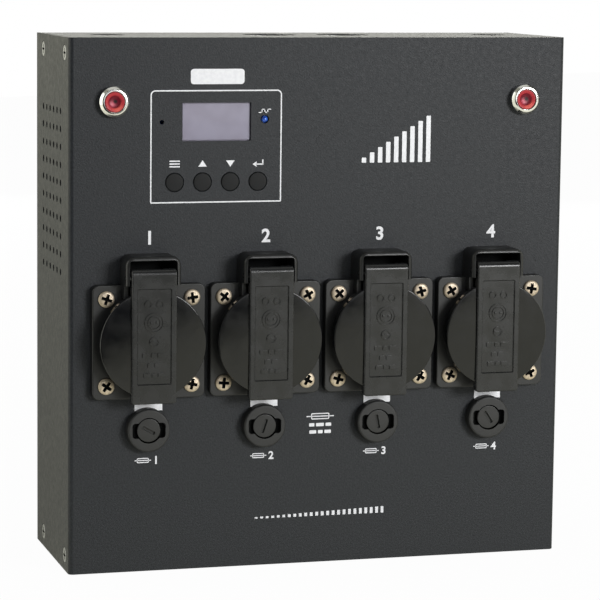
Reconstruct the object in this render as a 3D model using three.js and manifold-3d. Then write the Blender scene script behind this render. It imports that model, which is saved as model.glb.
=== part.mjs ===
// Four-channel dimmer pack: a folded steel case with four lidded mains sockets, a fuse holder under
// each socket, a small display with four buttons, two supply lamps, and control sockets in the top.
// Millimetres. X runs to the right, Y to the back and Z up; the origin is the middle of the underside.

import * as THREE from 'three';
import { mergeVertices } from 'three/addons/utils/BufferGeometryUtils.js';
import Module from 'manifold-3d';

const wasm = await Module();
wasm.setup();

// Case: the cover is the front and both sides, the chassis is the top, back and bottom
const channelCount = 4;
const sheet = 1.5;
const bendRadius = 2.2;
const caseDepth = 73;
const caseHeight = 233.5;
const sideMargin = 9.55; // from an outer socket flange to the side of the case
const fitGap = 0.3; // between pieces that seat on each other
const overrun = 1; // how far a cutting tool passes the wall it cuts
const embed = 0.2; // how far the joined forms of one piece reach into each other

// Sockets
const wellDiameter = 39.6;
const wellDepth = 17.5;
const flangeMargin = 5.2; // from the well to the flange's side
const flangeGap = 2.3; // between neighbouring flanges
const flangeThickness = 4;
const flangeCorner = 3;
const socketScrewInset = 6; // from the flange's side
const socketScrewHole = 3.6;
const collarWall = 2.2;
const collarRise = 5; // above the flange
const barrelWall = 1.7;
const housingFloor = 2;
const wireHole = 4.5;
const insertThickness = 14;
const pinHoleDiameter = 5.2;
const pinHoleSpacing = 19;
const clipWidth = 6;
const clipThickness = 0.8;
const clipRise = 12; // how far the earth clip stands above the insert's face
const clipBulge = 2.2; // how far its contact springs into the well

// Hinged lids
const lidOverlap = 1.4; // how far the lid laps the collar
const lidThickness = 3.7;
const lipGap = 1; // from the lip to the well's wall
const lipWall = 1.8;
const lipDepth = 1.5;
const strapWidth = 19.8;
const strapThickness = 4;
const strapRise = 1.2; // above the lid's face
const strapTab = 0.8; // how far the strap reaches below the flange
const strapRaised = 7.7; // how far it reaches above the flange
const strapRound = 2.5;
const strapPanelWidth = 15.3;
const strapPanelDepth = 0.5;
const strapPanelMargin = 8.4; // from the panel to either end of the strap
const pinRaised = 3.6; // hinge axis above the flange
const pinBehind = 3.7; // hinge axis behind the strap's face
const pinDiameter = 1.8;
const knuckleDiameter = 5;
const springWire = 0.6;
const springTurns = 2.5;
const springPitch = 1.3;

// Hinge hoods above the flanges
const hoodRaised = 13; // above the flange
const hoodBand = 1.9;
const hoodNose = 2.2; // in front of the hinge axis
const hoodBack = 2;
const hoodCorner = 4;
const hoodLap = 5.5; // how far the ears reach down over the flange
const earGap = 0.5; // from the strap to the ears
const earThickness = 1.75;
const earStepRaised = 0.5; // the ears stand back below this height above the flange

// Fuse holders, each with a turning cap and a cartridge fuse
const fuseBelow = 4.5; // from a socket's flange to the bezel of its fuse
const bezelLap = 1.8; // from the body to the bezel's edge
const bezelRise = 5;
const fuseWall = 2.5;
const fuseFloor = 2.9;
const recessDepth = 1.5;
const wingReach = 1.55; // from the recess to the end of a wing
const wingHeight = 6.3;
const capLap = 0.45; // from the carrier to the cap's edge
const capSink = 0.6; // the cap's face behind the bezel's
const capHead = 3;
const slotLength = 6;
const slotWidth = 1.1;
const slotDepth = 1;
const carrierWall = 1.25;
const carrierLength = 17.4;
const linkDiameter = 6.3;
const linkLength = 32;
const linkGlassDiameter = 5.6;
const linkEnd = 6;
const linkGrip = 13.7; // how far the carrier holds the fuse
const runningGap = 0.4; // round a piece that turns or slides
const fuseLugWidth = 5;
const fuseLugThickness = 0.8;
const fuseLugLength = 6;
const slotTurns = [-28, 72, -79, -57]; // degrees from level, fuse by fuse

// Display, its buttons, lamp and board, placed from the display window's centre
const windowWidth = 30.8;
const windowHeight = 16.7;
const windowSink = 1.1; // the window's face behind the front face
const windowRim = 2; // how far the window's rim laps the sheet behind
const windowRimThickness = 1;
const displayMarginX = 0.4; // from the window's edge to the display's
const displayMarginZ = 1.35;
const buttonDiameter = 7.6;
const buttonPitch = 12.45;
const buttonDrop = 26.1; // below the window's centre
const buttonProud = 0.4;
const buttonRim = 1;
const buttonStem = 3.4;
const buttonTravel = 0.5;
const statusDiameter = 3;
const statusProud = 0.8;
const statusSide = 6.2; // right of the window
const statusRise = 1; // above the window's centre
const leadSide = 0.5;
const leadSpacing = 2.54;
const trimmerSide = 9; // left of the window
const trimmerHole = 1.9;
const trimmerSize = 6;
const trimmerHeight = 5;
const boardThickness = 1.6;
const controlBoardGap = 9; // from the sheet to the board
const controlBoardWidth = 66;
const controlBoardHeight = 53;
const controlBoardDrop = 10.6; // board centre below the window's centre
const controlPostInset = 3.4;
const postDiameter = 5;
const boardHole = 3;
const switchSide = 6;
const switchHeight = 3.5;
const plungerDiameter = 3;
const plungerHeight = 1.4;
const chipSide = 10;
const chipHeight = 1.5;
const headerWidth = 20;
const headerHeight = 6;
const headerDepth = 8;

// Supply lamps
const lampRim = 0.5; // the bezel's front edge round the lens
const lampCone = 0.9; // how far the bezel widens from its front to its shoulder
const lampLip = 0.45; // and from there to its base
const lampShoulder = 1;
const lampRise = 4.2;
const lampBodyDiameter = 8.6;
const lampBodyLength = 18;
const lampLensDiameter = 9;
const lampLensSink = 0.5;
const lampLensThickness = 2;
const lampLensHollow = 0.9;
const lampInset = 19.3; // from the side of the case
const lampDrop = 27.4; // from the top of the case

// Dimmer board, its chokes and its heat sink
const dimmerBoardClear = 3.4; // behind the header of the control board
const dimmerBoardMargin = 10; // from the sides of the case
const dimmerBoardRaised = 0.7; // above the socket flanges
const dimmerBoardBelow = 8.7; // below the bodies of the lamps
const dimmerPostDiameter = 6;
const dimmerPostInset = 5;
const chokeDepth = 13;
const chokePitch = 48;
const triacWidth = 10;
const triacDepth = 4.5;
const sinkWidth = 166;
const sinkBase = 3.5;
const sinkFin = 12;
const sinkFinThickness = 2.2;
const sinkFinCount = 12;

// Chassis, terminals and transformer
const flangeDrop = 13.5; // how far the side flanges reach from the top and the bottom
const sideScrewInset = 9.7; // front side screws behind the front
const sideScrewSpan = 48.2; // from the front to the rear side screws
const sideScrewEdge = 6.8; // from the top and bottom edges
const sideScrewHole = 4.3;
const sideThreadHole = 3.3;
const keyholeHead = 9;
const keyholeNeck = 4.5;
const keyholeRise = 8;
const transformerWidth = 42;
const transformerDepth = 30;
const transformerHeight = 34;
const coilReach = 5;
const coilWidth = 26;
const terminalPoles = 3;
const terminalWidth = 34;
const terminalDepth = 15;
const terminalHeight = 17;
const terminalScrew = 4;
const terminalScrewDepth = 6;
const terminalEntry = 5;
const studDiameter = 4;
const studLength = 16;
const nutDiameter = 8;
const nutThickness = 3.2;

// Control sockets and cable bushings in the top
const controlWall = 2.4;
const controlFlangeSide = 1; // from the hole to the flange's sides
const controlFlangeEnd = 3.5; // from the hole to the flange's ends
const controlFlangeThickness = 2.4;
const controlBarrelLength = 22;
const controlMouth = 18.6;
const controlMouthDepth = 15;
const controlFaceSink = 5;
const controlPin = 2.4;
const controlPinLength = 9;
const controlPinCircle = 9.2;
const controlSocketHole = 3;
const controlSocketHoleDepth = 8;
const controlTail = 14;
const controlTailLength = 6;
const controlScrewInset = 3.5; // from the flange's edges
const controlScrewHole = 3.2;
const bushingBore = 11;
const bushingWall = 1.95;
const bushingLap = 2; // from the hole to the rim's edge
const bushingRimThickness = 1.6;
const bushingLength = 11;

// Side vents
const ventRows = 10;
const ventColumns = 6;
const ventPitch = 7.8;
const ventHole = 2.9;
const ventStart = 18.5; // first column behind the front

// Where the rows lie, as shares of the case's height and width
const socketRowShare = 0.4385;
const windowRowShare = 0.8442;
const windowAcrossShare = -0.2115;
const ventTopShare = 0.8615;
const dimmerPostShares = [[-0.5, 0.5], [-0.03, 0.5], [0.5, 0.5], [-0.5, -0.5], [0.5, -0.5]];
const controlAcrossShares = [-0.0602, 0.092];
const controlDepthShare = 0.53;
const bushingAcrossShares = [-0.389, 0.4025];
const keyholeAcrossShare = 0.36;
const keyholeRowShares = [0.2, 0.8];
const terminalEntryShare = 1 / 3; // of its depth, in front of the terminal's back
const transformerAcrossShare = -0.3;
const studAcrossShare = 0.36;
const lensCurveShares = [0.7, 0.35];
const chokeShare = 0.46; // of the dimmer board's height, as the next three are
const triacShare = 0.12;
const sinkShare = 0.28;
const sinkDropShare = 0.13; // from the heat sink's top to the board's top
const chokeBoreShare = 0.43; // of the choke's diameter

// Numbers of sides of the round forms
const fineSides = 24;
const roundSides = 16;
const smallSides = 8;
const holeSides = 6;
const wireSides = 5;
const springSteps = 21;
const arcSteps = 2;

// Worked-out sizes that several pieces share
const flangeSide = wellDiameter + 2 * flangeMargin;
const caseWidth = channelCount * flangeSide + (channelCount - 1) * flangeGap + 2 * sideMargin;
const frontFace = -caseDepth / 2;
const sheetBack = frontFace + sheet;
const backFace = caseDepth / 2;
const channelPitch = flangeSide + flangeGap;
const socketHeight = caseHeight * socketRowShare;
const windowX = caseWidth * windowAcrossShare;
const windowZ = caseHeight * windowRowShare;
const socketScrewSpacing = flangeSide - 2 * socketScrewInset;
const collarDiameter = wellDiameter + 2 * collarWall;
const barrelDiameter = wellDiameter + 2 * barrelWall;
const lidDiameter = collarDiameter + 2 * lidOverlap;
const lipDiameter = wellDiameter - 2 * lipGap;
const flangeFace = fitGap + flangeThickness;
const collarFace = flangeFace + collarRise;
const wellFloor = collarFace - wellDepth;
const insertBack = wellFloor - insertThickness;
const clipBack = insertBack - fitGap - clipThickness;
const floorFace = clipBack - fitGap;
const barrelEnd = floorFace - housingFloor;
const lidFace = collarFace + fitGap + lidThickness;
const strapFace = lidFace + strapRise;
const pinReach = strapFace - pinBehind;
const strapBelow = flangeSide / 2 + strapTab;
const strapAbove = flangeSide / 2 + strapRaised;
const pinAbove = flangeSide / 2 + pinRaised;
const hoodWidth = strapWidth + 2 * earGap + 2 * earThickness;
const hoodAbove = flangeSide / 2 + hoodRaised;
const hoodReach = pinReach + hoodNose;
const hoodFoot = flangeSide / 2 - hoodLap;
const earStep = flangeSide / 2 + earStepRaised;
const carrierDiameter = linkDiameter + 2 * runningGap + 2 * carrierWall;
const capDiameter = carrierDiameter + 2 * capLap;
const recessDiameter = capDiameter + 2 * runningGap;
const fuseBodyDiameter = carrierDiameter + 2 * runningGap + 2 * fuseWall;
const bezelDiameter = fuseBodyDiameter + 2 * bezelLap;
const fuseHeight = socketHeight - flangeSide / 2 - fuseBelow - bezelDiameter / 2;
const wingWidth = recessDiameter + 2 * wingReach;
const statusX = windowX + windowWidth / 2 + statusSide;
const trimmerX = windowX - windowWidth / 2 - trimmerSide;
const lampFrontDiameter = lampLensDiameter + 2 * fitGap + 2 * lampRim;
const lampShoulderDiameter = lampFrontDiameter + 2 * lampCone;
const lampBaseDiameter = lampShoulderDiameter + 2 * lampLip;
const dimmerBoardGap = controlBoardGap + boardThickness + headerDepth + dimmerBoardClear;
const dimmerBoardWidth = caseWidth - 2 * dimmerBoardMargin;
const dimmerBottom = socketHeight + flangeSide / 2 + dimmerBoardRaised;
const lampX = caseWidth / 2 - lampInset;
const lampZ = caseHeight - lampDrop;
const dimmerTop = lampZ - lampBodyDiameter / 2 - dimmerBoardBelow;
const dimmerBoardHeight = dimmerTop - dimmerBottom;
const dimmerMiddle = (dimmerBottom + dimmerTop) / 2;
const chokeOuter = dimmerBoardHeight * chokeShare;
const chokeInner = chokeOuter * chokeBoreShare;
const triacHeight = dimmerBoardHeight * triacShare;
const sinkHeight = dimmerBoardHeight * sinkShare;
const sinkTop = dimmerTop - dimmerBoardHeight * sinkDropShare;
const controlHole = controlMouth + 2 * controlWall + 2 * fitGap;
const controlFlangeWidth = controlHole + 2 * controlFlangeSide;
const controlFlangeDepth = controlHole + 2 * controlFlangeEnd;
const controlScrewX = controlFlangeWidth / 2 - controlScrewInset;
const controlScrewY = controlFlangeDepth / 2 - controlScrewInset;
const bushingHole = bushingBore + 2 * bushingWall + 2 * fitGap;
const bushingRim = bushingHole + 2 * bushingLap;
const chassisWidth = caseWidth - 2 * sheet - 2 * fitGap;
const controlY = frontFace + caseDepth * controlDepthShare;

function channelX(index) {
  return (index - (channelCount - 1) / 2) * channelPitch;
}

// Forms

function block(low, high) {
  const geometry = new THREE.BoxGeometry(high[0] - low[0], high[1] - low[1], high[2] - low[2]);
  return geometry.translate((low[0] + high[0]) / 2, (low[1] + high[1]) / 2, (low[2] + high[2]) / 2);
}

function barY(diameter, x, z, yFrom, yTo, sides) {
  const geometry = new THREE.CylinderGeometry(diameter / 2, diameter / 2, yTo - yFrom, sides);
  return geometry.translate(x, (yFrom + yTo) / 2, z);
}

function barX(diameter, y, z, xFrom, xTo, sides) {
  const geometry = new THREE.CylinderGeometry(diameter / 2, diameter / 2, xTo - xFrom, sides);
  return geometry.rotateZ(-Math.PI / 2).translate((xFrom + xTo) / 2, y, z);
}

function barZ(diameter, x, y, zFrom, zTo, sides) {
  const geometry = new THREE.CylinderGeometry(diameter / 2, diameter / 2, zTo - zFrom, sides);
  return geometry.rotateX(Math.PI / 2).translate(x, y, (zFrom + zTo) / 2);
}

// A profile of [radius, reach] points turned about Y, its reach measured to the front
function turned(profile, sides) {
  const points = profile.map(([radius, reach]) => new THREE.Vector2(radius, reach));
  const geometry = new THREE.LatheGeometry(points, sides);
  return geometry.rotateX(Math.PI);
}

// An outline drawn in X and Z, given depth from one Y to another
function plate(shape, yFrom, yTo) {
  const geometry = new THREE.ExtrudeGeometry(shape, {
    depth: yTo - yFrom,
    bevelEnabled: false,
    curveSegments: arcSteps,
  });
  return geometry.rotateX(Math.PI / 2).translate(0, yTo, 0);
}

// An outline drawn in reach and Z, given width from one X to another
function sidePlate(shape, xFrom, xTo) {
  const geometry = new THREE.ExtrudeGeometry(shape, {
    depth: xTo - xFrom,
    bevelEnabled: false,
    curveSegments: arcSteps,
  });
  return geometry.rotateX(Math.PI / 2).rotateZ(-Math.PI / 2).translate(xTo, 0, 0);
}

function roundedRectangle(width, height, corner) {
  const shape = new THREE.Shape();
  const right = width / 2;
  const top = height / 2;
  shape.moveTo(-right + corner, -top);
  shape.lineTo(right - corner, -top);
  shape.absarc(right - corner, -top + corner, corner, -Math.PI / 2, 0, false);
  shape.lineTo(right, top - corner);
  shape.absarc(right - corner, top - corner, corner, 0, Math.PI / 2, false);
  shape.lineTo(-right + corner, top);
  shape.absarc(-right + corner, top - corner, corner, Math.PI / 2, Math.PI, false);
  shape.lineTo(-right, -top + corner);
  shape.absarc(-right + corner, -top + corner, corner, Math.PI, Math.PI * 3 / 2, false);
  return shape;
}

function polygon(points) {
  const shape = new THREE.Shape();
  points.forEach(([across, up], index) => {
    if (index === 0) {
      shape.moveTo(across, up);
    } else {
      shape.lineTo(across, up);
    }
  });
  return shape;
}

// Joining and cutting

function toSolid(geometry) {
  const bare = geometry.clone();
  bare.deleteAttribute('normal');
  bare.deleteAttribute('uv');
  const merged = mergeVertices(bare);
  const index = merged.index.array;
  const corners = [];
  for (let i = 0; i < index.length; i += 3) {
    const [a, b, c] = [index[i], index[i + 1], index[i + 2]];
    if (a !== b && b !== c && c !== a) {
      corners.push(a, b, c);
    }
  }
  return new wasm.Manifold(new wasm.Mesh({
    numProp: 3,
    vertProperties: merged.attributes.position.array,
    triVerts: Uint32Array.from(corners),
  }));
}

function piece(joined, cut = []) {
  let solid = toSolid(joined[0]);
  joined.slice(1).forEach((geometry) => {
    solid = solid.add(toSolid(geometry));
  });
  cut.forEach((geometry) => {
    solid = solid.subtract(toSolid(geometry));
  });
  const mesh = solid.getMesh();
  const geometry = new THREE.BufferGeometry();
  geometry.setAttribute('position', new THREE.BufferAttribute(mesh.vertProperties, mesh.numProp));
  geometry.setIndex(new THREE.BufferAttribute(mesh.triVerts, 1));
  geometry.computeVertexNormals();
  return geometry;
}

// Materials
const paint = new THREE.MeshStandardMaterial({ color: 0x35373a, roughness: 0.5, metalness: 0.3 });
const glossPlastic = new THREE.MeshStandardMaterial({ color: 0x141517, roughness: 0.2 });
const blackPlastic = new THREE.MeshStandardMaterial({ color: 0x1d1e20, roughness: 0.45 });
const mattPlastic = new THREE.MeshStandardMaterial({ color: 0x242527, roughness: 0.6 });
const insulator = new THREE.MeshStandardMaterial({ color: 0x2a2a2c, roughness: 0.7 });
const nickel = new THREE.MeshStandardMaterial({ color: 0xc8bfae, roughness: 0.3, metalness: 1 });
const chrome = new THREE.MeshStandardMaterial({ color: 0xdadcdd, roughness: 0.12, metalness: 1 });
const springSteel = new THREE.MeshStandardMaterial({ color: 0x9a9c9e, roughness: 0.35, metalness: 1 });
const redLens = new THREE.MeshStandardMaterial({ color: 0xb31414, roughness: 0.15 });
const blueLens = new THREE.MeshStandardMaterial({ color: 0x2b57c8, roughness: 0.2 });
const filter = new THREE.MeshStandardMaterial({ color: 0x9895a2, roughness: 0.15 });
const displayBody = new THREE.MeshStandardMaterial({ color: 0x303033, roughness: 0.5 });
const glassTube = new THREE.MeshStandardMaterial({ color: 0xcfd6d4, roughness: 0.1 });
const laminate = new THREE.MeshStandardMaterial({ color: 0x1f5a33, roughness: 0.5 });
const aluminium = new THREE.MeshStandardMaterial({ color: 0xa9acae, roughness: 0.4, metalness: 1 });
const ironCore = new THREE.MeshStandardMaterial({ color: 0x5b5d5f, roughness: 0.5, metalness: 0.8 });
const paleNylon = new THREE.MeshStandardMaterial({ color: 0xd9d6c8, roughness: 0.6 });
const brass = new THREE.MeshStandardMaterial({ color: 0xb5924c, roughness: 0.35, metalness: 1 });

const group = new THREE.Group();

function addPiece(parent, name, geometry, material) {
  const mesh = new THREE.Mesh(geometry, material);
  mesh.name = name;
  parent.add(mesh);
  return mesh;
}

function groupAt(x, y, z) {
  const child = new THREE.Group();
  child.position.set(x, y, z);
  group.add(child);
  return child;
}

// Front cover: one folded sheet with the cut-outs of the front, the vents, and the board posts

function coverSheet() {
  const shape = new THREE.Shape();
  const outerX = caseWidth / 2;
  const innerX = outerX - sheet;
  const outerArc = outerX - bendRadius;
  const arcY = frontFace + bendRadius;
  const innerRadius = bendRadius - sheet;
  shape.moveTo(-outerX, backFace);
  shape.lineTo(-outerX, arcY);
  shape.absarc(-outerArc, arcY, bendRadius, Math.PI, Math.PI * 3 / 2, false);
  shape.lineTo(outerArc, frontFace);
  shape.absarc(outerArc, arcY, bendRadius, -Math.PI / 2, 0, false);
  shape.lineTo(outerX, backFace);
  shape.lineTo(innerX, backFace);
  shape.lineTo(innerX, arcY);
  shape.absarc(outerArc, arcY, innerRadius, 0, -Math.PI / 2, true);
  shape.lineTo(-outerArc, sheetBack);
  shape.absarc(-outerArc, arcY, innerRadius, -Math.PI / 2, -Math.PI, true);
  shape.lineTo(-innerX, backFace);
  return new THREE.ExtrudeGeometry(shape, {
    depth: caseHeight,
    bevelEnabled: false,
    curveSegments: arcSteps,
  });
}

function frontHole(diameter, x, z, sides) {
  return barY(diameter, x, z, frontFace - overrun, sheetBack + overrun, sides);
}

function socketCuts() {
  const cuts = [];
  for (let index = 0; index < channelCount; index += 1) {
    const x = channelX(index);
    cuts.push(frontHole(barrelDiameter + 2 * fitGap, x, socketHeight, roundSides));
    for (const side of [-1, 1]) {
      for (const level of [-1, 1]) {
        const screwX = x + side * socketScrewSpacing / 2;
        const screwZ = socketHeight + level * socketScrewSpacing / 2;
        cuts.push(frontHole(socketScrewHole, screwX, screwZ, holeSides));
      }
    }
    cuts.push(frontHole(fuseBodyDiameter + 2 * fitGap, x, fuseHeight, roundSides));
  }
  return cuts;
}

function buttonX(index) {
  return windowX + (index - (channelCount - 1) / 2) * buttonPitch;
}

function displayCuts() {
  const cuts = [block(
    [windowX - windowWidth / 2, frontFace - overrun, windowZ - windowHeight / 2],
    [windowX + windowWidth / 2, sheetBack + overrun, windowZ + windowHeight / 2],
  )];
  for (let index = 0; index < channelCount; index += 1) {
    cuts.push(frontHole(buttonDiameter + 2 * fitGap, buttonX(index), windowZ - buttonDrop, smallSides));
  }
  cuts.push(frontHole(statusDiameter + 2 * fitGap, statusX, windowZ + statusRise, smallSides));
  cuts.push(frontHole(trimmerHole, trimmerX, windowZ, holeSides));
  return cuts;
}

function ventCuts() {
  const cuts = [];
  for (const side of [-1, 1]) {
    const wall = side * (caseWidth / 2 - sheet / 2);
    const reach = sheet / 2 + overrun;
    for (let row = 0; row < ventRows; row += 1) {
      for (let column = 0; column < ventColumns; column += 1) {
        const y = frontFace + ventStart + column * ventPitch;
        const z = caseHeight * ventTopShare - row * ventPitch;
        cuts.push(barX(ventHole, y, z, wall - reach, wall + reach, holeSides));
      }
    }
    for (const [y, z] of sideScrewPlaces()) {
      cuts.push(barX(sideScrewHole, y, z, wall - reach, wall + reach, holeSides));
    }
  }
  return cuts;
}

function sideScrewPlaces() {
  const places = [];
  for (const y of [frontFace + sideScrewInset, frontFace + sideScrewInset + sideScrewSpan]) {
    for (const z of [sideScrewEdge, caseHeight - sideScrewEdge]) {
      places.push([y, z]);
    }
  }
  return places;
}

function controlPostPlaces() {
  const across = controlBoardWidth / 2 - controlPostInset;
  const up = controlBoardHeight / 2 - controlPostInset;
  const middle = windowZ - controlBoardDrop;
  return [[-across, -up], [across, -up], [-across, up], [across, up]]
    .map(([x, z]) => [windowX + x, middle + z]);
}

function dimmerPostPlaces() {
  const across = dimmerBoardWidth - 2 * dimmerPostInset;
  const up = dimmerBoardHeight - 2 * dimmerPostInset;
  return dimmerPostShares.map(([acrossShare, upShare]) => [
    across * acrossShare,
    dimmerMiddle + up * upShare,
  ]);
}

function frontCover() {
  const posts = controlPostPlaces().map(([x, z]) => (
    barY(postDiameter, x, z, sheetBack - embed, sheetBack + controlBoardGap - fitGap, smallSides)));
  const longPosts = dimmerPostPlaces().map(([x, z]) => (
    barY(dimmerPostDiameter, x, z, sheetBack - embed, sheetBack + dimmerBoardGap - fitGap, smallSides)));
  return piece(
    [coverSheet(), ...posts, ...longPosts],
    [...socketCuts(), ...displayCuts(), ...lampPlaces().map(([x, z]) => (
      frontHole(lampBodyDiameter + 2 * fitGap, x, z, roundSides))), ...ventCuts()],
  );
}

function lampPlaces() {
  return [[-lampX, lampZ], [lampX, lampZ]];
}

// Chassis: top, back and bottom in one folded sheet, with side flanges for the side screws

function chassisSheet() {
  const shape = new THREE.Shape();
  const frontEdge = -(sheetBack + fitGap);
  const backEdge = -backFace;
  const arcReach = backEdge + bendRadius;
  const innerRadius = bendRadius - sheet;
  shape.moveTo(frontEdge, 0);
  shape.lineTo(frontEdge, sheet);
  shape.lineTo(arcReach, sheet);
  shape.absarc(arcReach, bendRadius, innerRadius, -Math.PI / 2, -Math.PI, true);
  shape.lineTo(backEdge + sheet, caseHeight - bendRadius);
  shape.absarc(arcReach, caseHeight - bendRadius, innerRadius, Math.PI, Math.PI / 2, true);
  shape.lineTo(frontEdge, caseHeight - sheet);
  shape.lineTo(frontEdge, caseHeight);
  shape.lineTo(arcReach, caseHeight);
  shape.absarc(arcReach, caseHeight - bendRadius, bendRadius, Math.PI / 2, Math.PI, false);
  shape.lineTo(backEdge, bendRadius);
  shape.absarc(arcReach, bendRadius, bendRadius, Math.PI, Math.PI * 3 / 2, false);
  return sidePlate(shape, -chassisWidth / 2, chassisWidth / 2);
}

function chassisFlanges() {
  const flanges = [];
  const reach = caseDepth / 2 - sheet - fitGap;
  for (const side of [-1, 1]) {
    const xOuter = side * chassisWidth / 2;
    const xInner = side * (chassisWidth / 2 - sheet);
    const xLow = Math.min(xOuter, xInner);
    const xHigh = Math.max(xOuter, xInner);
    flanges.push(block([xLow, -reach, sheet - embed], [xHigh, reach, flangeDrop]));
    flanges.push(block([xLow, -reach, caseHeight - flangeDrop], [xHigh, reach, caseHeight - sheet + embed]));
  }
  return flanges;
}

function topHole(diameter, x, y, sides) {
  return barZ(diameter, x, y, caseHeight - sheet - overrun, caseHeight + overrun, sides);
}

function chassisCuts() {
  const cuts = [];
  controlAcrossShares.forEach((share) => {
    const x = caseWidth * share;
    cuts.push(topHole(controlHole, x, controlY, roundSides));
    cuts.push(topHole(controlScrewHole, x - controlScrewX, controlY - controlScrewY, holeSides));
    cuts.push(topHole(controlScrewHole, x + controlScrewX, controlY + controlScrewY, holeSides));
  });
  bushingAcrossShares.forEach((share) => {
    cuts.push(topHole(bushingHole, caseWidth * share, controlY, roundSides));
  });
  const wallFrom = backFace - sheet - overrun;
  const wallTo = backFace + overrun;
  for (const side of [-1, 1]) {
    for (const share of keyholeRowShares) {
      const x = side * caseWidth * keyholeAcrossShare;
      const z = caseHeight * share;
      cuts.push(barY(keyholeHead, x, z, wallFrom, wallTo, smallSides));
      cuts.push(block(
        [x - keyholeNeck / 2, wallFrom, z],
        [x + keyholeNeck / 2, wallTo, z + keyholeRise],
      ));
    }
    const wall = side * (chassisWidth / 2 - sheet / 2);
    const reach = sheet / 2 + overrun;
    for (const [y, z] of sideScrewPlaces()) {
      cuts.push(barX(sideThreadHole, y, z, wall - reach, wall + reach, holeSides));
    }
  }
  return cuts;
}

function chassis() {
  return piece([chassisSheet(), ...chassisFlanges()], chassisCuts());
}

addPiece(group, 'front_cover', frontCover(), paint);
addPiece(group, 'chassis', chassis(), paint);

// Sockets, each built round its own centre on the front face

function hoodShape() {
  const shape = new THREE.Shape();
  const outer = hoodWidth / 2;
  const inner = outer - earThickness;
  const arcX = outer - hoodCorner;
  const arcZ = hoodAbove - hoodCorner;
  shape.moveTo(outer, hoodFoot);
  shape.lineTo(outer, arcZ);
  shape.absarc(arcX, arcZ, hoodCorner, 0, Math.PI / 2, false);
  shape.lineTo(-arcX, hoodAbove);
  shape.absarc(-arcX, arcZ, hoodCorner, Math.PI / 2, Math.PI, false);
  shape.lineTo(-outer, hoodFoot);
  shape.lineTo(-inner, hoodFoot);
  shape.lineTo(-inner, hoodAbove - hoodBand);
  shape.lineTo(inner, hoodAbove - hoodBand);
  shape.lineTo(inner, hoodFoot);
  return shape;
}

function socketHousing() {
  const flange = plate(roundedRectangle(flangeSide, flangeSide, flangeCorner), -flangeFace, -fitGap);
  const collar = barY(collarDiameter, 0, 0, -collarFace, -flangeFace + embed, fineSides);
  const barrel = barY(barrelDiameter, 0, 0, -fitGap - embed, -barrelEnd, roundSides);
  const hood = plate(hoodShape(), -hoodReach, -fitGap);
  const hoodWall = block(
    [-hoodWidth / 2 + embed, -fitGap - hoodBack, hoodFoot],
    [hoodWidth / 2 - embed, -fitGap, hoodAbove - hoodBand + embed],
  );
  const earTrim = block(
    [-hoodWidth, -hoodReach - overrun, hoodFoot - overrun],
    [hoodWidth, -collarFace, earStep],
  );
  const hoodFull = piece([hood, hoodWall], [
    earTrim,
    barX(pinDiameter + 2 * fitGap, -pinReach, pinAbove, -hoodWidth, hoodWidth, smallSides),
  ]);
  const cuts = [barY(wellDiameter, 0, 0, -collarFace - overrun, -floorFace, fineSides)];
  for (const side of [-1, 1]) {
    const x = side * pinHoleSpacing / 2;
    cuts.push(barY(wireHole, x, 0, -floorFace - overrun, -barrelEnd + overrun, holeSides));
    for (const level of [-1, 1]) {
      const screwX = side * socketScrewSpacing / 2;
      const screwZ = level * socketScrewSpacing / 2;
      cuts.push(barY(socketScrewHole, screwX, screwZ, -collarFace - overrun, overrun, holeSides));
    }
  }
  return piece([flange, collar, barrel, hoodFull], cuts);
}

function socketInsert() {
  const diameter = wellDiameter - 2 * fitGap;
  const cuts = [];
  for (const side of [-1, 1]) {
    const x = side * pinHoleSpacing / 2;
    cuts.push(barY(pinHoleDiameter, x, 0, -wellFloor - overrun, -insertBack + overrun, smallSides));
    const notchIn = side * (diameter / 2 - clipThickness - clipBulge - fitGap);
    const notchOut = side * (diameter / 2 + overrun);
    cuts.push(block(
      [-clipWidth / 2 - fitGap, -wellFloor - overrun, Math.min(notchIn, notchOut)],
      [clipWidth / 2 + fitGap, -insertBack + overrun, Math.max(notchIn, notchOut)],
    ));
  }
  return piece([barY(diameter, 0, 0, -wellFloor, -insertBack, fineSides)], cuts);
}

function earthClip() {
  const outer = wellDiameter / 2 * Math.cos(Math.PI / fineSides) - fitGap;
  const outerLevel = Math.sqrt(outer * outer - clipWidth * clipWidth / 4);
  const innerLevel = outerLevel - clipThickness;
  const tip = wellFloor + clipRise;
  const bend = wellFloor + clipRise / 2;
  const half = [
    [clipBack, outerLevel],
    [wellFloor, outerLevel],
    [bend, outerLevel - clipBulge],
    [tip, outerLevel],
    [tip, innerLevel],
    [bend, innerLevel - clipBulge],
    [wellFloor, innerLevel],
    [clipBack + clipThickness, innerLevel],
  ];
  const mirrored = half.map(([reach, level]) => [reach, -level]).reverse();
  return piece([sidePlate(polygon([...half, ...mirrored]), -clipWidth / 2, clipWidth / 2)]);
}

function strapShape() {
  const shape = new THREE.Shape();
  const back = strapFace - strapThickness;
  shape.moveTo(back, -strapBelow);
  shape.lineTo(strapFace, -strapBelow);
  shape.lineTo(strapFace, strapAbove - strapRound);
  shape.absarc(strapFace - strapRound, strapAbove - strapRound, strapRound, 0, Math.PI / 2, false);
  shape.lineTo(back, strapAbove);
  return shape;
}

const springLength = springTurns * springPitch;
const springRadius = pinDiameter / 2 + fitGap + springWire / 2;

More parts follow.
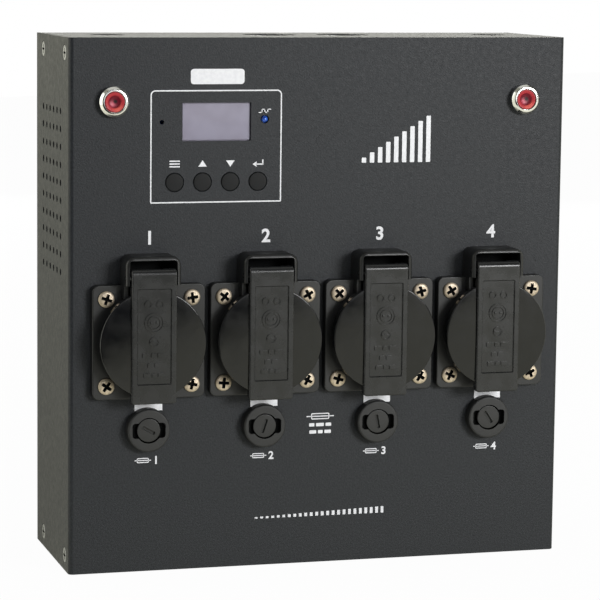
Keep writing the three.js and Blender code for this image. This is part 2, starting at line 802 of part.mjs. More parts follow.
function socketLid() {
  const disc = barY(lidDiameter, 0, 0, -lidFace, -collarFace - fitGap, fineSides);
  const lipFront = -collarFace - fitGap;
  const lip = barY(lipDiameter, 0, 0, lipFront - embed, lipFront + lipDepth, roundSides);
  const lipBore = barY(
    lipDiameter - 2 * lipWall, 0, 0,
    -collarFace - fitGap, -collarFace - fitGap + lipDepth + overrun, roundSides,
  );
  const strap = sidePlate(strapShape(), -strapWidth / 2, strapWidth / 2);
  const knuckle = barX(knuckleDiameter, -pinReach, pinAbove, -strapWidth / 2, strapWidth / 2, smallSides);
  const pinBore = barX(pinDiameter + 2 * fitGap, -pinReach, pinAbove, -strapWidth, strapWidth, smallSides);
  const notchSide = springLength / 2 + springWire;
  const notchReach = springRadius + springWire / 2 + fitGap;
  const notch = block(
    [-notchSide, -pinReach - notchReach, pinAbove - notchReach],
    [notchSide, -pinReach + knuckleDiameter, strapAbove + overrun],
  );
  const panel = block(
    [-strapPanelWidth / 2, -strapFace - overrun, -strapBelow + strapPanelMargin],
    [strapPanelWidth / 2, -strapFace + strapPanelDepth, strapAbove - strapPanelMargin],
  );
  return piece([disc, lip, strap, knuckle], [lipBore, pinBore, notch, panel]);
}

function hingePin() {
  const length = hoodWidth - 2 * fitGap;
  return piece([barX(pinDiameter, -pinReach, pinAbove, -length / 2, length / 2, smallSides)]);
}

// The spring winds round the pin, and its leg lies back against the hood's wall
class SpringPath extends THREE.Curve {
  getPoint(along) {
    const legLength = pinReach - fitGap - hoodBack - fitGap;
    const coilLength = 2 * Math.PI * springRadius * springTurns;
    const distance = along * (legLength + coilLength);
    if (distance <= legLength) {
      return new THREE.Vector3(
        -springLength / 2,
        -pinReach + legLength - distance,
        pinAbove - springRadius,
      );
    }
    const turn = (distance - legLength) / springRadius;
    return new THREE.Vector3(
      -springLength / 2 + turn / (2 * Math.PI) * springPitch,
      -pinReach - Math.sin(turn) * springRadius,
      pinAbove - Math.cos(turn) * springRadius,
    );
  }
}

function lidSpring() {
  const section = new THREE.Shape();
  for (let side = 0; side < wireSides; side += 1) {
    const angle = side / wireSides * 2 * Math.PI;
    const x = Math.cos(angle) * springWire / 2;
    const y = Math.sin(angle) * springWire / 2;
    if (side === 0) {
      section.moveTo(x, y);
    } else {
      section.lineTo(x, y);
    }
  }
  return new THREE.ExtrudeGeometry(section, {
    steps: springSteps,
    bevelEnabled: false,
    extrudePath: new SpringPath(),
  });
}

const housingForm = socketHousing();
const insertForm = socketInsert();
const clipForm = earthClip();
const lidForm = socketLid();
const pinForm = hingePin();
const springForm = piece([lidSpring()]);

for (let index = 0; index < channelCount; index += 1) {
  const socket = groupAt(channelX(index), frontFace, socketHeight);
  const name = `socket_${index + 1}`;
  addPiece(socket, `${name}_housing`, housingForm, blackPlastic);
  addPiece(socket, `${name}_insert`, insertForm, insulator);
  addPiece(socket, `${name}_earth_clip`, clipForm, nickel);
  addPiece(socket, `${name}_lid`, lidForm, glossPlastic);
  addPiece(socket, `${name}_hinge_pin`, pinForm, springSteel);
  addPiece(socket, `${name}_lid_spring`, springForm, springSteel);
}

// Fuse holders, each built round its own centre on the front face

const capFace = bezelRise - capSink;
const capBack = capFace - capHead;
const carrierBack = capBack - carrierLength;
const linkFront = carrierBack + linkGrip;
const linkBack = linkFront - linkLength;
const fuseBodyLength = fitGap + fuseFloor - linkBack;

function fuseHolder() {
  const bezel = barY(bezelDiameter, 0, 0, -bezelRise, -fitGap, roundSides);
  const body = barY(fuseBodyDiameter, 0, 0, -fitGap - embed, fuseBodyLength, roundSides);
  const lug = block(
    [-fuseLugWidth / 2, fuseBodyLength - embed, -fuseLugThickness / 2],
    [fuseLugWidth / 2, fuseBodyLength + fuseLugLength, fuseLugThickness / 2],
  );
  const wings = block(
    [-wingWidth / 2, -bezelRise - overrun, -wingHeight / 2],
    [wingWidth / 2, -bezelRise + recessDepth, wingHeight / 2],
  );
  const headBore = barY(recessDiameter, 0, 0, -bezelRise - overrun, -capBack + fitGap, roundSides);
  const carrierBore = barY(
    carrierDiameter + 2 * runningGap, 0, 0,
    -bezelRise, -carrierBack + fitGap, roundSides,
  );
  const linkBore = barY(linkDiameter + 2 * runningGap, 0, 0, -bezelRise, -linkBack + fitGap, smallSides);
  return piece([bezel, body, lug], [wings, headBore, carrierBore, linkBore]);
}

function fuseCap(turn) {
  const head = barY(capDiameter, 0, 0, -capFace, -capBack, roundSides);
  const carrier = barY(carrierDiameter, 0, 0, -capBack - embed, -carrierBack, roundSides);
  const slot = block(
    [-slotLength / 2, -capFace - overrun, -slotWidth / 2],
    [slotLength / 2, -capFace + slotDepth, slotWidth / 2],
  ).rotateY(-turn * Math.PI / 180);
  const bore = barY(
    linkDiameter + 2 * runningGap, 0, 0,
    -linkFront - fitGap, -carrierBack + overrun, roundSides,
  );
  return piece([head, carrier], [slot, bore]);
}

function fuseLink() {
  const outer = linkDiameter / 2;
  const glass = linkGlassDiameter / 2;
  return piece([turned([
    [0, linkBack],
    [outer, linkBack],
    [outer, linkBack + linkEnd],
    [glass, linkBack + linkEnd],
    [glass, linkFront - linkEnd],
    [outer, linkFront - linkEnd],
    [outer, linkFront],
    [0, linkFront],
  ], smallSides)]);
}

const holderForm = fuseHolder();
const linkForm = fuseLink();

for (let index = 0; index < channelCount; index += 1) {
  const fuse = groupAt(channelX(index), frontFace, fuseHeight);
  const name = `fuse_${index + 1}`;
  addPiece(fuse, `${name}_holder`, holderForm, mattPlastic);
  addPiece(fuse, `${name}_cap`, fuseCap(slotTurns[index]), blackPlastic);
  addPiece(fuse, `${name}_link`, linkForm, glassTube);
}

// Display, buttons and status lamp on the control board

const boardFront = sheetBack + controlBoardGap;
const boardBack = boardFront + boardThickness;
const boardMiddle = windowZ - controlBoardDrop;
const plungerFront = boardFront - switchHeight - plungerHeight;

function controlBoard() {
  const board = block(
    [windowX - controlBoardWidth / 2, boardFront, boardMiddle - controlBoardHeight / 2],
    [windowX + controlBoardWidth / 2, boardBack, boardMiddle + controlBoardHeight / 2],
  );
  const parts = [];
  for (let index = 0; index < channelCount; index += 1) {
    const x = buttonX(index);
    const z = windowZ - buttonDrop;
    parts.push(block(
      [x - switchSide / 2, boardFront - switchHeight, z - switchSide / 2],
      [x + switchSide / 2, boardFront + embed, z + switchSide / 2],
    ));
    parts.push(barY(plungerDiameter, x, z, plungerFront, boardFront - switchHeight + embed, holeSides));
  }
  parts.push(block(
    [trimmerX - trimmerSize / 2, boardFront - trimmerHeight, windowZ - trimmerSize / 2],
    [trimmerX + trimmerSize / 2, boardFront + embed, windowZ + trimmerSize / 2],
  ));
  parts.push(block(
    [windowX - chipSide / 2, boardBack - embed, windowZ - chipSide / 2],
    [windowX + chipSide / 2, boardBack + chipHeight, windowZ + chipSide / 2],
  ));
  parts.push(block(
    [windowX - headerWidth / 2, boardBack - embed, windowZ - buttonDrop - headerHeight / 2],
    [windowX + headerWidth / 2, boardBack + headerDepth, windowZ - buttonDrop + headerHeight / 2],
  ));
  const holes = controlPostPlaces().map(([x, z]) => (
    barY(boardHole, x, z, boardFront - overrun, boardBack + overrun, holeSides)));
  return piece([board, ...parts], holes);
}

function displayWindow() {
  const width = windowWidth - 2 * fitGap;
  const height = windowHeight - 2 * fitGap;
  const rimFront = sheetBack + fitGap;
  return piece([
    block(
      [windowX - width / 2, frontFace + windowSink, windowZ - height / 2],
      [windowX + width / 2, rimFront + embed, windowZ + height / 2],
    ),
    block(
      [windowX - windowWidth / 2 - windowRim, rimFront, windowZ - windowHeight / 2 - windowRim],
      [windowX + windowWidth / 2 + windowRim, rimFront + windowRimThickness,
        windowZ + windowHeight / 2 + windowRim],
    ),
  ]);
}

function displayModule() {
  const width = windowWidth - 2 * displayMarginX;
  const height = windowHeight - 2 * displayMarginZ;
  return piece([block(
    [windowX - width / 2, sheetBack + windowRimThickness + 2 * fitGap, windowZ - height / 2],
    [windowX + width / 2, boardFront - fitGap, windowZ + height / 2],
  )]);
}

function statusLed() {
  const x = statusX;
  const z = windowZ + statusRise;
  const radius = statusDiameter / 2;
  const rimFront = -sheet - fitGap;
  const rimBack = rimFront - leadSide;
  const body = turned([
    [0, statusProud],
    [radius * Math.SQRT1_2, statusProud - radius * (1 - Math.SQRT1_2)],
    [radius, statusProud - radius],
    [radius, rimFront],
    [radius + leadSide, rimFront],
    [radius + leadSide, rimBack],
    [0, rimBack],
  ].reverse(), smallSides).translate(x, frontFace, z);
  const leads = [-1, 1].map((side) => block(
    [x + side * leadSpacing / 2 - leadSide / 2, frontFace - rimBack - embed, z - leadSide / 2],
    [x + side * leadSpacing / 2 + leadSide / 2, boardFront - fitGap, z + leadSide / 2],
  ));
  return piece([body, ...leads]);
}

function button(index) {
  const x = buttonX(index);
  const z = windowZ - buttonDrop;
  const rimFront = sheetBack + fitGap;
  const rimBack = rimFront + buttonRim;
  return piece([
    barY(buttonDiameter, x, z, frontFace - buttonProud, rimFront + embed, roundSides),
    barY(buttonDiameter + 2 * buttonRim, x, z, rimFront, rimBack, roundSides),
    barY(buttonStem, x, z, rimBack - embed, plungerFront - buttonTravel - fitGap / 2, holeSides),
  ]);
}

addPiece(group, 'control_board', controlBoard(), laminate);
addPiece(group, 'display_window', displayWindow(), filter);
addPiece(group, 'display_module', displayModule(), displayBody);
addPiece(group, 'status_led', statusLed(), blueLens);
['menu_button', 'up_button', 'down_button', 'enter_button'].forEach((name, index) => {
  addPiece(group, name, button(index), mattPlastic);
});

// Supply lamps

function lampBezel() {
  return piece([turned([
    [0, -lampBodyLength],
    [lampBodyDiameter / 2, -lampBodyLength],
    [lampBodyDiameter / 2, fitGap],
    [lampBaseDiameter / 2, fitGap],
    [lampShoulderDiameter / 2, lampShoulder],
    [lampFrontDiameter / 2, lampRise],
    [lampLensDiameter / 2 + fitGap, lampRise],
    [lampLensDiameter / 2 + fitGap, lampRise - lampLensSink - lampLensThickness - fitGap],
    [0, lampRise - lampLensSink - lampLensThickness - fitGap],
  ], roundSides)]);
}

function lampLens() {
  const front = lampRise - lampLensSink;
  const back = front - lampLensThickness;
  const radius = lampLensDiameter / 2;
  const profile = [[0, back], [radius, back], [radius, front]];
  for (const share of lensCurveShares) {
    profile.push([radius * share, front - lampLensHollow * (1 - share * share)]);
  }
  profile.push([0, front - lampLensHollow]);
  return piece([turned(profile, roundSides)]);
}

const lampBezelForm = lampBezel();
const lampLensForm = lampLens();
lampPlaces().forEach(([x, z], index) => {
  const side = ['left', 'right'][index];
  const lamp = groupAt(x, frontFace, z);
  addPiece(lamp, `${side}_lamp_bezel`, lampBezelForm, chrome);
  addPiece(lamp, `${side}_lamp_lens`, lampLensForm, redLens);
});

// Dimmer board with its chokes and triacs, and the heat sink seated on it

const dimmerFront = sheetBack + dimmerBoardGap;
const dimmerBack = dimmerFront + boardThickness;

function dimmerBoard() {
  const board = block(
    [-dimmerBoardWidth / 2, dimmerFront, dimmerBottom],
    [dimmerBoardWidth / 2, dimmerBack, dimmerTop],
  );
  const parts = [];
  for (let index = 0; index < channelCount; index += 1) {
    const x = (index - (channelCount - 1) / 2) * chokePitch;
    const z = dimmerBottom + chokeOuter / 2;
    parts.push(piece(
      [barY(chokeOuter, x, z, dimmerBack - embed, dimmerBack + chokeDepth, roundSides)],
      [barY(chokeInner, x, z, dimmerBack, dimmerBack + chokeDepth + overrun, smallSides)],
    ));
    const triacTop = sinkTop - sinkHeight - fitGap;
    parts.push(block(
      [x - triacWidth / 2, dimmerBack - embed, triacTop - triacHeight],
      [x + triacWidth / 2, dimmerBack + triacDepth, triacTop],
    ));
  }
  const holes = dimmerPostPlaces().map(([x, z]) => (
    barY(boardHole, x, z, dimmerFront - overrun, dimmerBack + overrun, holeSides)));
  return piece([board, ...parts], holes);
}

function heatSink() {
  const base = dimmerBack + fitGap;
  const forms = [block(
    [-sinkWidth / 2, base, sinkTop - sinkHeight],
    [sinkWidth / 2, base + sinkBase, sinkTop],
  )];
  const pitch = (sinkWidth - sinkFinThickness) / (sinkFinCount - 1);
  for (let index = 0; index < sinkFinCount; index += 1) {
    const x = -sinkWidth / 2 + index * pitch;
    forms.push(block(
      [x, base + sinkBase - embed, sinkTop - sinkHeight],
      [x + sinkFinThickness, base + sinkBase + sinkFin, sinkTop],
    ));
  }
  return piece(forms);
}

addPiece(group, 'dimmer_board', dimmerBoard(), laminate);
addPiece(group, 'heat_sink', heatSink(), aluminium);

// Transformer and earth stud on the chassis floor, terminals on its back wall

function powerTransformer() {
  const x = caseWidth * transformerAcrossShare;
  const base = sheet + fitGap;
  const back = backFace - sheet - coilReach - fitGap;
  const core = block(
    [x - transformerWidth / 2, back - transformerDepth, base],
    [x + transformerWidth / 2, back, base + transformerHeight],
  );
  const coil = block(
    [x - coilWidth / 2, back - transformerDepth - coilReach, base + coilReach],
    [x + coilWidth / 2, back + coilReach, base + transformerHeight - coilReach],
  );
  return piece([core, coil]);
}

function mainsTerminal(x) {
  const back = backFace - sheet - fitGap;
  const front = back - terminalDepth;
  const top = caseHeight - sheet - bushingLength - bushingRimThickness - terminalHeight / 2;
  const body = block(
    [x - terminalWidth / 2, front, top - terminalHeight],
    [x + terminalWidth / 2, back, top],
  );
  const cuts = [];
  for (let pole = 0; pole < terminalPoles; pole += 1) {
    const poleX = x + (pole - (terminalPoles - 1) / 2) * terminalWidth / terminalPoles;
    const middle = top - terminalHeight / 2;
    cuts.push(barY(terminalScrew, poleX, middle, front - overrun, front + terminalScrewDepth, holeSides));
    cuts.push(barZ(terminalEntry, poleX, back - terminalDepth * terminalEntryShare, top - terminalScrewDepth,
      top + overrun, holeSides));
  }
  return piece([body], cuts);
}

function earthStud() {
  const x = caseWidth * studAcrossShare;
  const base = sheet + fitGap;
  return piece([
    barZ(studDiameter, x, 0, base, base + studLength, smallSides),
    barZ(nutDiameter, x, 0, base, base + nutThickness, holeSides),
  ]);
}

addPiece(group, 'power_transformer', powerTransformer(), ironCore);
addPiece(group, 'left_mains_terminal', mainsTerminal(caseWidth * bushingAcrossShares[0]), paleNylon);
addPiece(group, 'right_mains_terminal', mainsTerminal(caseWidth * bushingAcrossShares[1]), paleNylon);
addPiece(group, 'earth_stud', earthStud(), brass);

// Control sockets and cable bushings, each built round its own hole in the top face

function controlBody() {
  const flangeTop = -sheet - fitGap;
  const barrelEndZ = flangeTop - controlBarrelLength;
  return [
    block(
      [-controlFlangeWidth / 2, -controlFlangeDepth / 2, flangeTop - controlFlangeThickness],
      [controlFlangeWidth / 2, controlFlangeDepth / 2, flangeTop],
    ),
    barZ(controlHole - 2 * fitGap, 0, 0, barrelEndZ, -fitGap, roundSides),
    block(
      [-controlTail / 2, -controlTail / 2, barrelEndZ - controlTailLength],
      [controlTail / 2, controlTail / 2, barrelEndZ + embed],
    ),
  ];
}

function controlFlangeHoles() {
  const top = overrun;
  const bottom = -sheet - fitGap - controlFlangeThickness - overrun;
  return [
    barZ(controlScrewHole, -controlScrewX, -controlScrewY, bottom, top, holeSides),
    barZ(controlScrewHole, controlScrewX, controlScrewY, bottom, top, holeSides),
  ];
}

function contactPlaces() {
  return [-1, 0, 1].map((place) => {
    const angle = (place * 2 / 3 - 1 / 2) * Math.PI;
    return [Math.cos(angle) * controlPinCircle / 2, Math.sin(angle) * controlPinCircle / 2];
  });
}

function controlInput() {
  const floor = -fitGap - controlMouthDepth;
  const cup = piece(controlBody(), [
    barZ(controlMouth, 0, 0, floor, overrun, roundSides),
    ...controlFlangeHoles(),
  ]);
  const pins = contactPlaces().map(([x, y]) => (
    barZ(controlPin, x, y, floor - embed, floor + controlPinLength, holeSides)));
  return piece([cup, ...pins]);
}

function controlOutput() {
  const face = -fitGap - controlFaceSink;
  const holes = contactPlaces().map(([x, y]) => (
    barZ(controlSocketHole, x, y, face - controlSocketHoleDepth, overrun, holeSides)));
  return piece(controlBody(), [
    barZ(controlMouth, 0, 0, face, overrun, roundSides),
    ...controlFlangeHoles(),
    ...holes,
  ]);
}

function cableBushing() {
  const rimTop = -sheet - fitGap;
  return piece([
    barZ(bushingHole - 2 * fitGap, 0, 0, -bushingLength, -fitGap, roundSides),
    barZ(bushingRim, 0, 0, rimTop - bushingRimThickness, rimTop, roundSides),
  ], [barZ(bushingBore, 0, 0, -bushingLength - overrun, overrun, roundSides)]);
}

const inputPlace = groupAt(caseWidth * controlAcrossShares[0], controlY, caseHeight);
addPiece(inputPlace, 'control_input_socket', controlInput(), blackPlastic);
const outputPlace = groupAt(caseWidth * controlAcrossShares[1], controlY, caseHeight);
addPiece(outputPlace, 'control_output_socket', controlOutput(), blackPlastic);
const bushingForm = cableBushing();
bushingAcrossShares.forEach((share, index) => {
  const place = groupAt(caseWidth * share, controlY, caseHeight);
  addPiece(place, `${['left', 'right'][index]}_cable_bushing`, bushingForm, blackPlastic);
});

export default group;
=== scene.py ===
# Dimmer pack: the looks of its painted case, lidded sockets, fuse holders, display, lamps and controls
import math

import bmesh
import bpy
from mathutils import Matrix, Vector


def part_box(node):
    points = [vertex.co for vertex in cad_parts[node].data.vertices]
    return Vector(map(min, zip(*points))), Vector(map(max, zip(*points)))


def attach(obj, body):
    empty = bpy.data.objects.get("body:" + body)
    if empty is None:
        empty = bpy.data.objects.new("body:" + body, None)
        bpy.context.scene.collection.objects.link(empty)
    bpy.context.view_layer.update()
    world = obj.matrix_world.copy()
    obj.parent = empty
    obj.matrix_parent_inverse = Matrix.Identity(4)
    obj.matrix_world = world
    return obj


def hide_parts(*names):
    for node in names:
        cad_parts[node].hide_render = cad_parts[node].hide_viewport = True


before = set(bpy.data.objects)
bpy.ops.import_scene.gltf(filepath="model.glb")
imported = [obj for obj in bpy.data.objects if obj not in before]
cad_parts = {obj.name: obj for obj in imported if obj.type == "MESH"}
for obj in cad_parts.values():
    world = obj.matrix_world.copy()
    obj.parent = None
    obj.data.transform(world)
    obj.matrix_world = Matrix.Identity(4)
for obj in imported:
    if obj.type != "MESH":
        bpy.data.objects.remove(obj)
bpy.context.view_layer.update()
mm = 0.001
over = 1  # cutting tools reach this far past what they cut
lap = 0.2  # welded forms reach this far into each other
print("frame loaded:", len(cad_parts), "nodes")


# Places taken from the frame, in millimetres

def nodeBox(node):
    low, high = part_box(node)
    return low / mm, high / mm


def nodeMiddle(node):
    low, high = nodeBox(node)
    return (low + high) / 2


coverLow, coverHigh = nodeBox("front_cover")
frontFace = coverLow.y
caseWidth = coverHigh.x - coverLow.x
caseDepth = coverHigh.y - coverLow.y
caseHeight = coverHigh.z
channels = [1, 2, 3, 4]
sides = ["left", "right"]
buttonNames = ["menu_button", "up_button", "down_button", "enter_button"]


def onFront(middle):
    return (middle.x, frontFace, middle.z)


def onTop(middle):
    return (middle.x, middle.y, caseHeight)


# Camera, at the height and side that the case is seen from

camera = {
    "place": (-331.9, -1122.0, 267.9),
    "yaw": 0.2608,
    "pitch": -0.1224,
    "roll": 0.0081,
    "lens": 155.5,
    "shift": (0.12, -0.04),
    "farthest": 20,  # in metres
}


def addObject(name, data):
    item = bpy.data.objects.new(name, data)
    bpy.context.scene.collection.objects.link(item)
    return item


def addCamera():
    data = bpy.data.cameras.new("camera")
    data.lens = camera["lens"]
    data.shift_x, data.shift_y = camera["shift"]
    data.clip_end = camera["farthest"]
    item = addObject("camera", data)
    turn = Matrix.Rotation(-camera["yaw"], 4, "Z")
    tilt = Matrix.Rotation(math.pi / 2 + camera["pitch"], 4, "X")
    roll = Matrix.Rotation(camera["roll"], 4, "Z")
    item.matrix_world = Matrix.Translation(Vector(camera["place"]) * mm) @ turn @ tilt @ roll
    bpy.context.scene.camera = item


# Light and floor

studio = {
    "worldLight": 0.4,
    "roomSpan": (-0.8, 0.1),  # from the room in front of the case to the room behind it
    "roomLevels": (0, 1.15),  # how bright gloss mirrors the two
    "aboveSpan": (0.3, 0.8),  # from low in the room to overhead
    "aboveShares": (1, 0.25),  # and how much of that is left there
    "roomTint": (1.0, 0.99, 0.82, 1),
    "lightsTowards": (0, 0, 0.12),
    "lights": {  # place and size in metres, and power in watts
        "left_softbox": ((-1.6, 0.25, 0.6), (1.4, 1.8), 7),
        "key_softbox": ((0.8, -1.5, 0.5), (0.6, 0.4), 17),
        "low_card": ((0.4, -1.5, 0.24), (0.95, 0.28), 1),
        "high_card": ((-0.1, -1.5, 0.9), (0.8, 0.3), 2.2),
        "top_softbox": ((0.1, 0.2, 1.7), (1.6, 1.2), 2),
        "rear_softbox": ((0.5, 1.6, 0.45), (1.2, 0.7), 6),
    },
    "floorShade": 0.82,
    "floorRoughness": 0.9,
    "floorWhiteShare": 0.97,  # how much of the floor's white is there whatever the light
    "floorSpan": (-0.12, 0.08),  # in metres, and as for the room
    "floorLevels": (0.89, 0.6),
    "floorSize": 6,
    "floorDrop": 0.0002,
    "floorTurn": 30,  # degrees; the sheet lies askew, and the lids mirror its near edge
    "floorEdge": 0.31,  # from the case to that edge, in metres
}


def addLight(name, place, size, power):
    data = bpy.data.lights.new(name, "AREA")
    data.shape = "RECTANGLE"
    data.size, data.size_y = size
    data.energy = power
    item = addObject(name, data)
    item.location = place
    aim = Vector(studio["lightsTowards"]) - Vector(place)
    item.rotation_euler = aim.to_track_quat("-Z", "Y").to_euler()


def addNode(tree, kind, values=None, links=None, **settings):
    # A shader node, with some of its sockets set and some linked
    node = tree.nodes.new("ShaderNode" + kind)
    for key, value in settings.items():
        setattr(node, key, value)
    for key, value in (values or {}).items():
        node.inputs[key].default_value = value
    for key, source in (links or {}).items():
        tree.links.new(source, node.inputs[key])
    return node


def joinValues(tree, operation, first, second):
    return addNode(tree, "Math", links={0: first, 1: second}, operation=operation).outputs[0]


def shownRays(tree):
    path = addNode(tree, "LightPath").outputs
    shown = joinValues(tree, "MAXIMUM", path["Is Camera Ray"], path["Is Glossy Ray"])
    return joinValues(tree, "MAXIMUM", shown, path["Is Transmission Ray"])


def splitPlace(tree, place):
    return addNode(tree, "SeparateXYZ", links={0: place}).outputs


def softStep(tree, value, span, levels):
    limits = dict(zip(("From Min", "From Max", "To Min", "To Max"), (*span, *levels)))
    step = addNode(tree, "MapRange", limits, {"Value": value}, interpolation_type="SMOOTHSTEP")
    return step.outputs["Result"]


def whereMirrored(tree, level):  # full strength, but the level where gloss mirrors it
    gloss = addNode(tree, "LightPath").outputs["Is Glossy Ray"]
    return addNode(tree, "Mix", {"A": 1}, {"Factor": gloss, "B": level}).outputs["Result"]


def whereTinted(tree):
    gloss = addNode(tree, "LightPath").outputs["Is Glossy Ray"]
    tints = {"A": (1, 1, 1, 1), "B": studio["roomTint"]}
    return addNode(tree, "Mix", tints, {"Factor": gloss}, data_type="RGBA").outputs["Result"]


def mixShaders(tree, share, first, second, output):
    mix = addNode(tree, "MixShader", links={0: share, 1: first.outputs[0], 2: second.outputs[0]})
    tree.links.new(mix.outputs[0], tree.nodes[output].inputs[0])


def addWorld():
    world = bpy.data.worlds.new("studio")
    bpy.context.scene.world = world
    world.use_nodes = True
    tree = world.node_tree
    lit = tree.nodes["Background"]
    lit.inputs["Color"].default_value = (1, 1, 1, 1)
    lit.inputs["Strength"].default_value = studio["worldLight"]
    place = splitPlace(tree, addNode(tree, "TexCoord").outputs["Generated"])
    back = softStep(tree, place["Y"], studio["roomSpan"], studio["roomLevels"])
    above = softStep(tree, place["Z"], studio["aboveSpan"], studio["aboveShares"])
    level = whereMirrored(tree, joinValues(tree, "MULTIPLY", back, above))
    shown = addNode(tree, "Background", links={"Color": whereTinted(tree), "Strength": level})
    mixShaders(tree, shownRays(tree), lit, shown, "World Output")


def addFloor():
    size = studio["floorSize"]
    shape = bmesh.new()
    bmesh.ops.create_grid(shape, x_segments=1, y_segments=1, size=size / 2)
    bmesh.ops.translate(shape, verts=shape.verts, vec=(size / 2 - studio["floorEdge"], 0, 0))
    mesh = bpy.data.meshes.new("floor")
    shape.to_mesh(mesh)
    shape.free()
    item = addObject("floor", mesh)
    item.location.z = -studio["floorDrop"]
    item.rotation_euler.z = math.radians(studio["floorTurn"])
    material = bpy.data.materials.new("pale_floor")
    material.use_nodes = True
    tree = material.node_tree
    shader = tree.nodes["Principled BSDF"]
    shade = studio["floorShade"]
    shader.inputs["Base Color"].default_value = (shade, shade, shade, 1)
    shader.inputs["Roughness"].default_value = studio["floorRoughness"]
    shader.inputs["Specular IOR Level"].default_value = 0.0
    place = splitPlace(tree, addNode(tree, "NewGeometry").outputs["Position"])
    level = whereMirrored(tree, softStep(tree, place["Y"], studio["floorSpan"], studio["floorLevels"]))
    white = addNode(tree, "Emission", links={"Color": whereTinted(tree), "Strength": level})
    share = addNode(tree, "Math", {1: studio["floorWhiteShare"]}, {0: shownRays(tree)}, operation="MULTIPLY")
    mixShaders(tree, share.outputs[0], shader, white, "Material Output")
    mesh.materials.append(material)


bpy.context.scene.view_settings.view_transform = "Standard"
addCamera()
addWorld()
addFloor()
for name, values in studio["lights"].items():
    addLight(name, *values)
print("camera and studio placed")


# Finishes

grain = {
    "mottleShares": (0.35, 0.65),  # of the noise, where the low and the high colour are full
    "unevenShares": (0.3, 0.7),
    "platedShare": 0.86,  # of the colour, in the darker spots of plated steel
}


def tone(red, green, blue):  # screen values from 0 to 255, as linear light
    values = []
    for level in (red, green, blue):
        share = level / 255
        values.append(share / 12.92 if share <= 0.04045 else ((share + 0.055) / 1.055) ** 2.4)
    return (*values, 1)


def noiseOver(tree, size, detail, stretch):  # grains of about size millimetres
    place = addNode(tree, "TexCoord").outputs["Object"]
    mapping = addNode(tree, "Mapping", {"Scale": stretch}, {"Vector": place}).outputs["Vector"]
    values = {"Scale": 1 / (size * mm), "Detail": detail}
    return addNode(tree, "TexNoise", values, {"Vector": mapping}).outputs["Fac"]


def addMottle(tree, low, high, size, detail=3.0, stretch=(1, 1, 1)):  # from a low to a high colour
    ramp = addNode(tree, "ValToRGB", links={"Fac": noiseOver(tree, size, detail, stretch)})
    for stop, share, colour in zip(ramp.color_ramp.elements, grain["mottleShares"], (low, high)):
        stop.position = share
        stop.color = tone(*colour)
    tree.links.new(ramp.outputs["Color"], tree.nodes["Principled BSDF"].inputs["Base Color"])


def addUneven(tree, low, high, size, detail=2.0, stretch=(1, 1, 1)):  # from a low to a high roughness
    limits = dict(zip(("From Min", "From Max", "To Min", "To Max"), (*grain["unevenShares"], low, high)))
    spread = addNode(tree, "MapRange", limits, {"Value": noiseOver(tree, size, detail, stretch)})
    tree.links.new(spread.outputs["Result"], tree.nodes["Principled BSDF"].inputs["Roughness"])


def addBumps(tree, size, depth, detail=3.0, stretch=(1, 1, 1)):
    height = noiseOver(tree, size, detail, stretch)
    bump = addNode(tree, "Bump", {"Distance": depth * mm}, {"Height": height})
    tree.links.new(bump.outputs["Normal"], tree.nodes["Principled BSDF"].inputs["Normal"])


def finish(name, colour, roughness, extras=None, mottle=None, uneven=None, bumps=None):
    material = bpy.data.materials.new(name)
    material.use_nodes = True
    tree = material.node_tree
    values = {"Base Color": colour, "Roughness": roughness, **(extras or {})}
    for key, value in values.items():
        tree.nodes["Principled BSDF"].inputs[key].default_value = value
    material.diffuse_color = colour
    if mottle:
        addMottle(tree, *mottle)
    if uneven:
        addUneven(tree, *uneven)
    if bumps:
        addBumps(tree, *bumps)
    return material


def satinPlastic(name, level=24, roughness=0.38, shine=0.5):
    low, high = (level - 2, level - 1, level - 1), (level + 3, level + 4, level + 5)
    return finish(name, tone(level, level + 1, level + 2), roughness, {"Specular IOR Level": shine},
                  mottle=(low, high, 8), uneven=(roughness - 0.04, roughness + 0.05, 6),
                  bumps=(6, 0.004, 1.0))


def platedSteel(name, colour, roughness):
    darker = [level * grain["platedShare"] for level in colour]
    return finish(name, tone(*colour), roughness, {"Metallic": 1.0}, mottle=(darker, colour, 1.2),
                  uneven=(roughness - 0.08, roughness + 0.12, 0.8), bumps=(0.4, 0.01))


def whiteInk(name, level):
    low, high = (level - 6, level - 5, level - 3), (level + 3, level + 4, level + 5)
    return finish(name, tone(level, level + 1, level + 2), 0.55, mottle=(low, high, 1.5), bumps=(0.5, 0.01))


lensPaintedLight = [  # painted light and shade on the lens: each spot's place, where it starts and ends to fade, and the colour there, over a rim darkened as painted shade
    ((0, 0), (3.9, 4.5), (172, 50, 56)),
    ((1.2, -2.4), (0, 3.4), (216, 98, 86)),
    ((0, 0), (2.3, 3.1), (104, 12, 32)),
    ((-0.8, -0.9), (0, 2.1), (198, 90, 106)),
    ((0.45, 0.2), (0.2, 1.5), (20, 3, 8)),
]
# the lens's colour outside the spots: a darker rim, painted shade at the lens's edge
lensShadedRim = (110, 12, 20)


def nearTo(tree, spot, span):  # 1 at the spot, falling to 0 across the span, on a lens
    place = addNode(tree, "TexCoord").outputs["Object"]
    values = {"Location": (-spot[0] * mm, 0, -spot[1] * mm), "Scale": (1, 0, 1)}
    mapping = addNode(tree, "Mapping", values, {"Vector": place}).outputs["Vector"]
    length = addNode(tree, "VectorMath", links={0: mapping}, operation="LENGTH").outputs["Value"]
    return softStep(tree, length, (span[0] * mm, span[1] * mm), (1, 0))


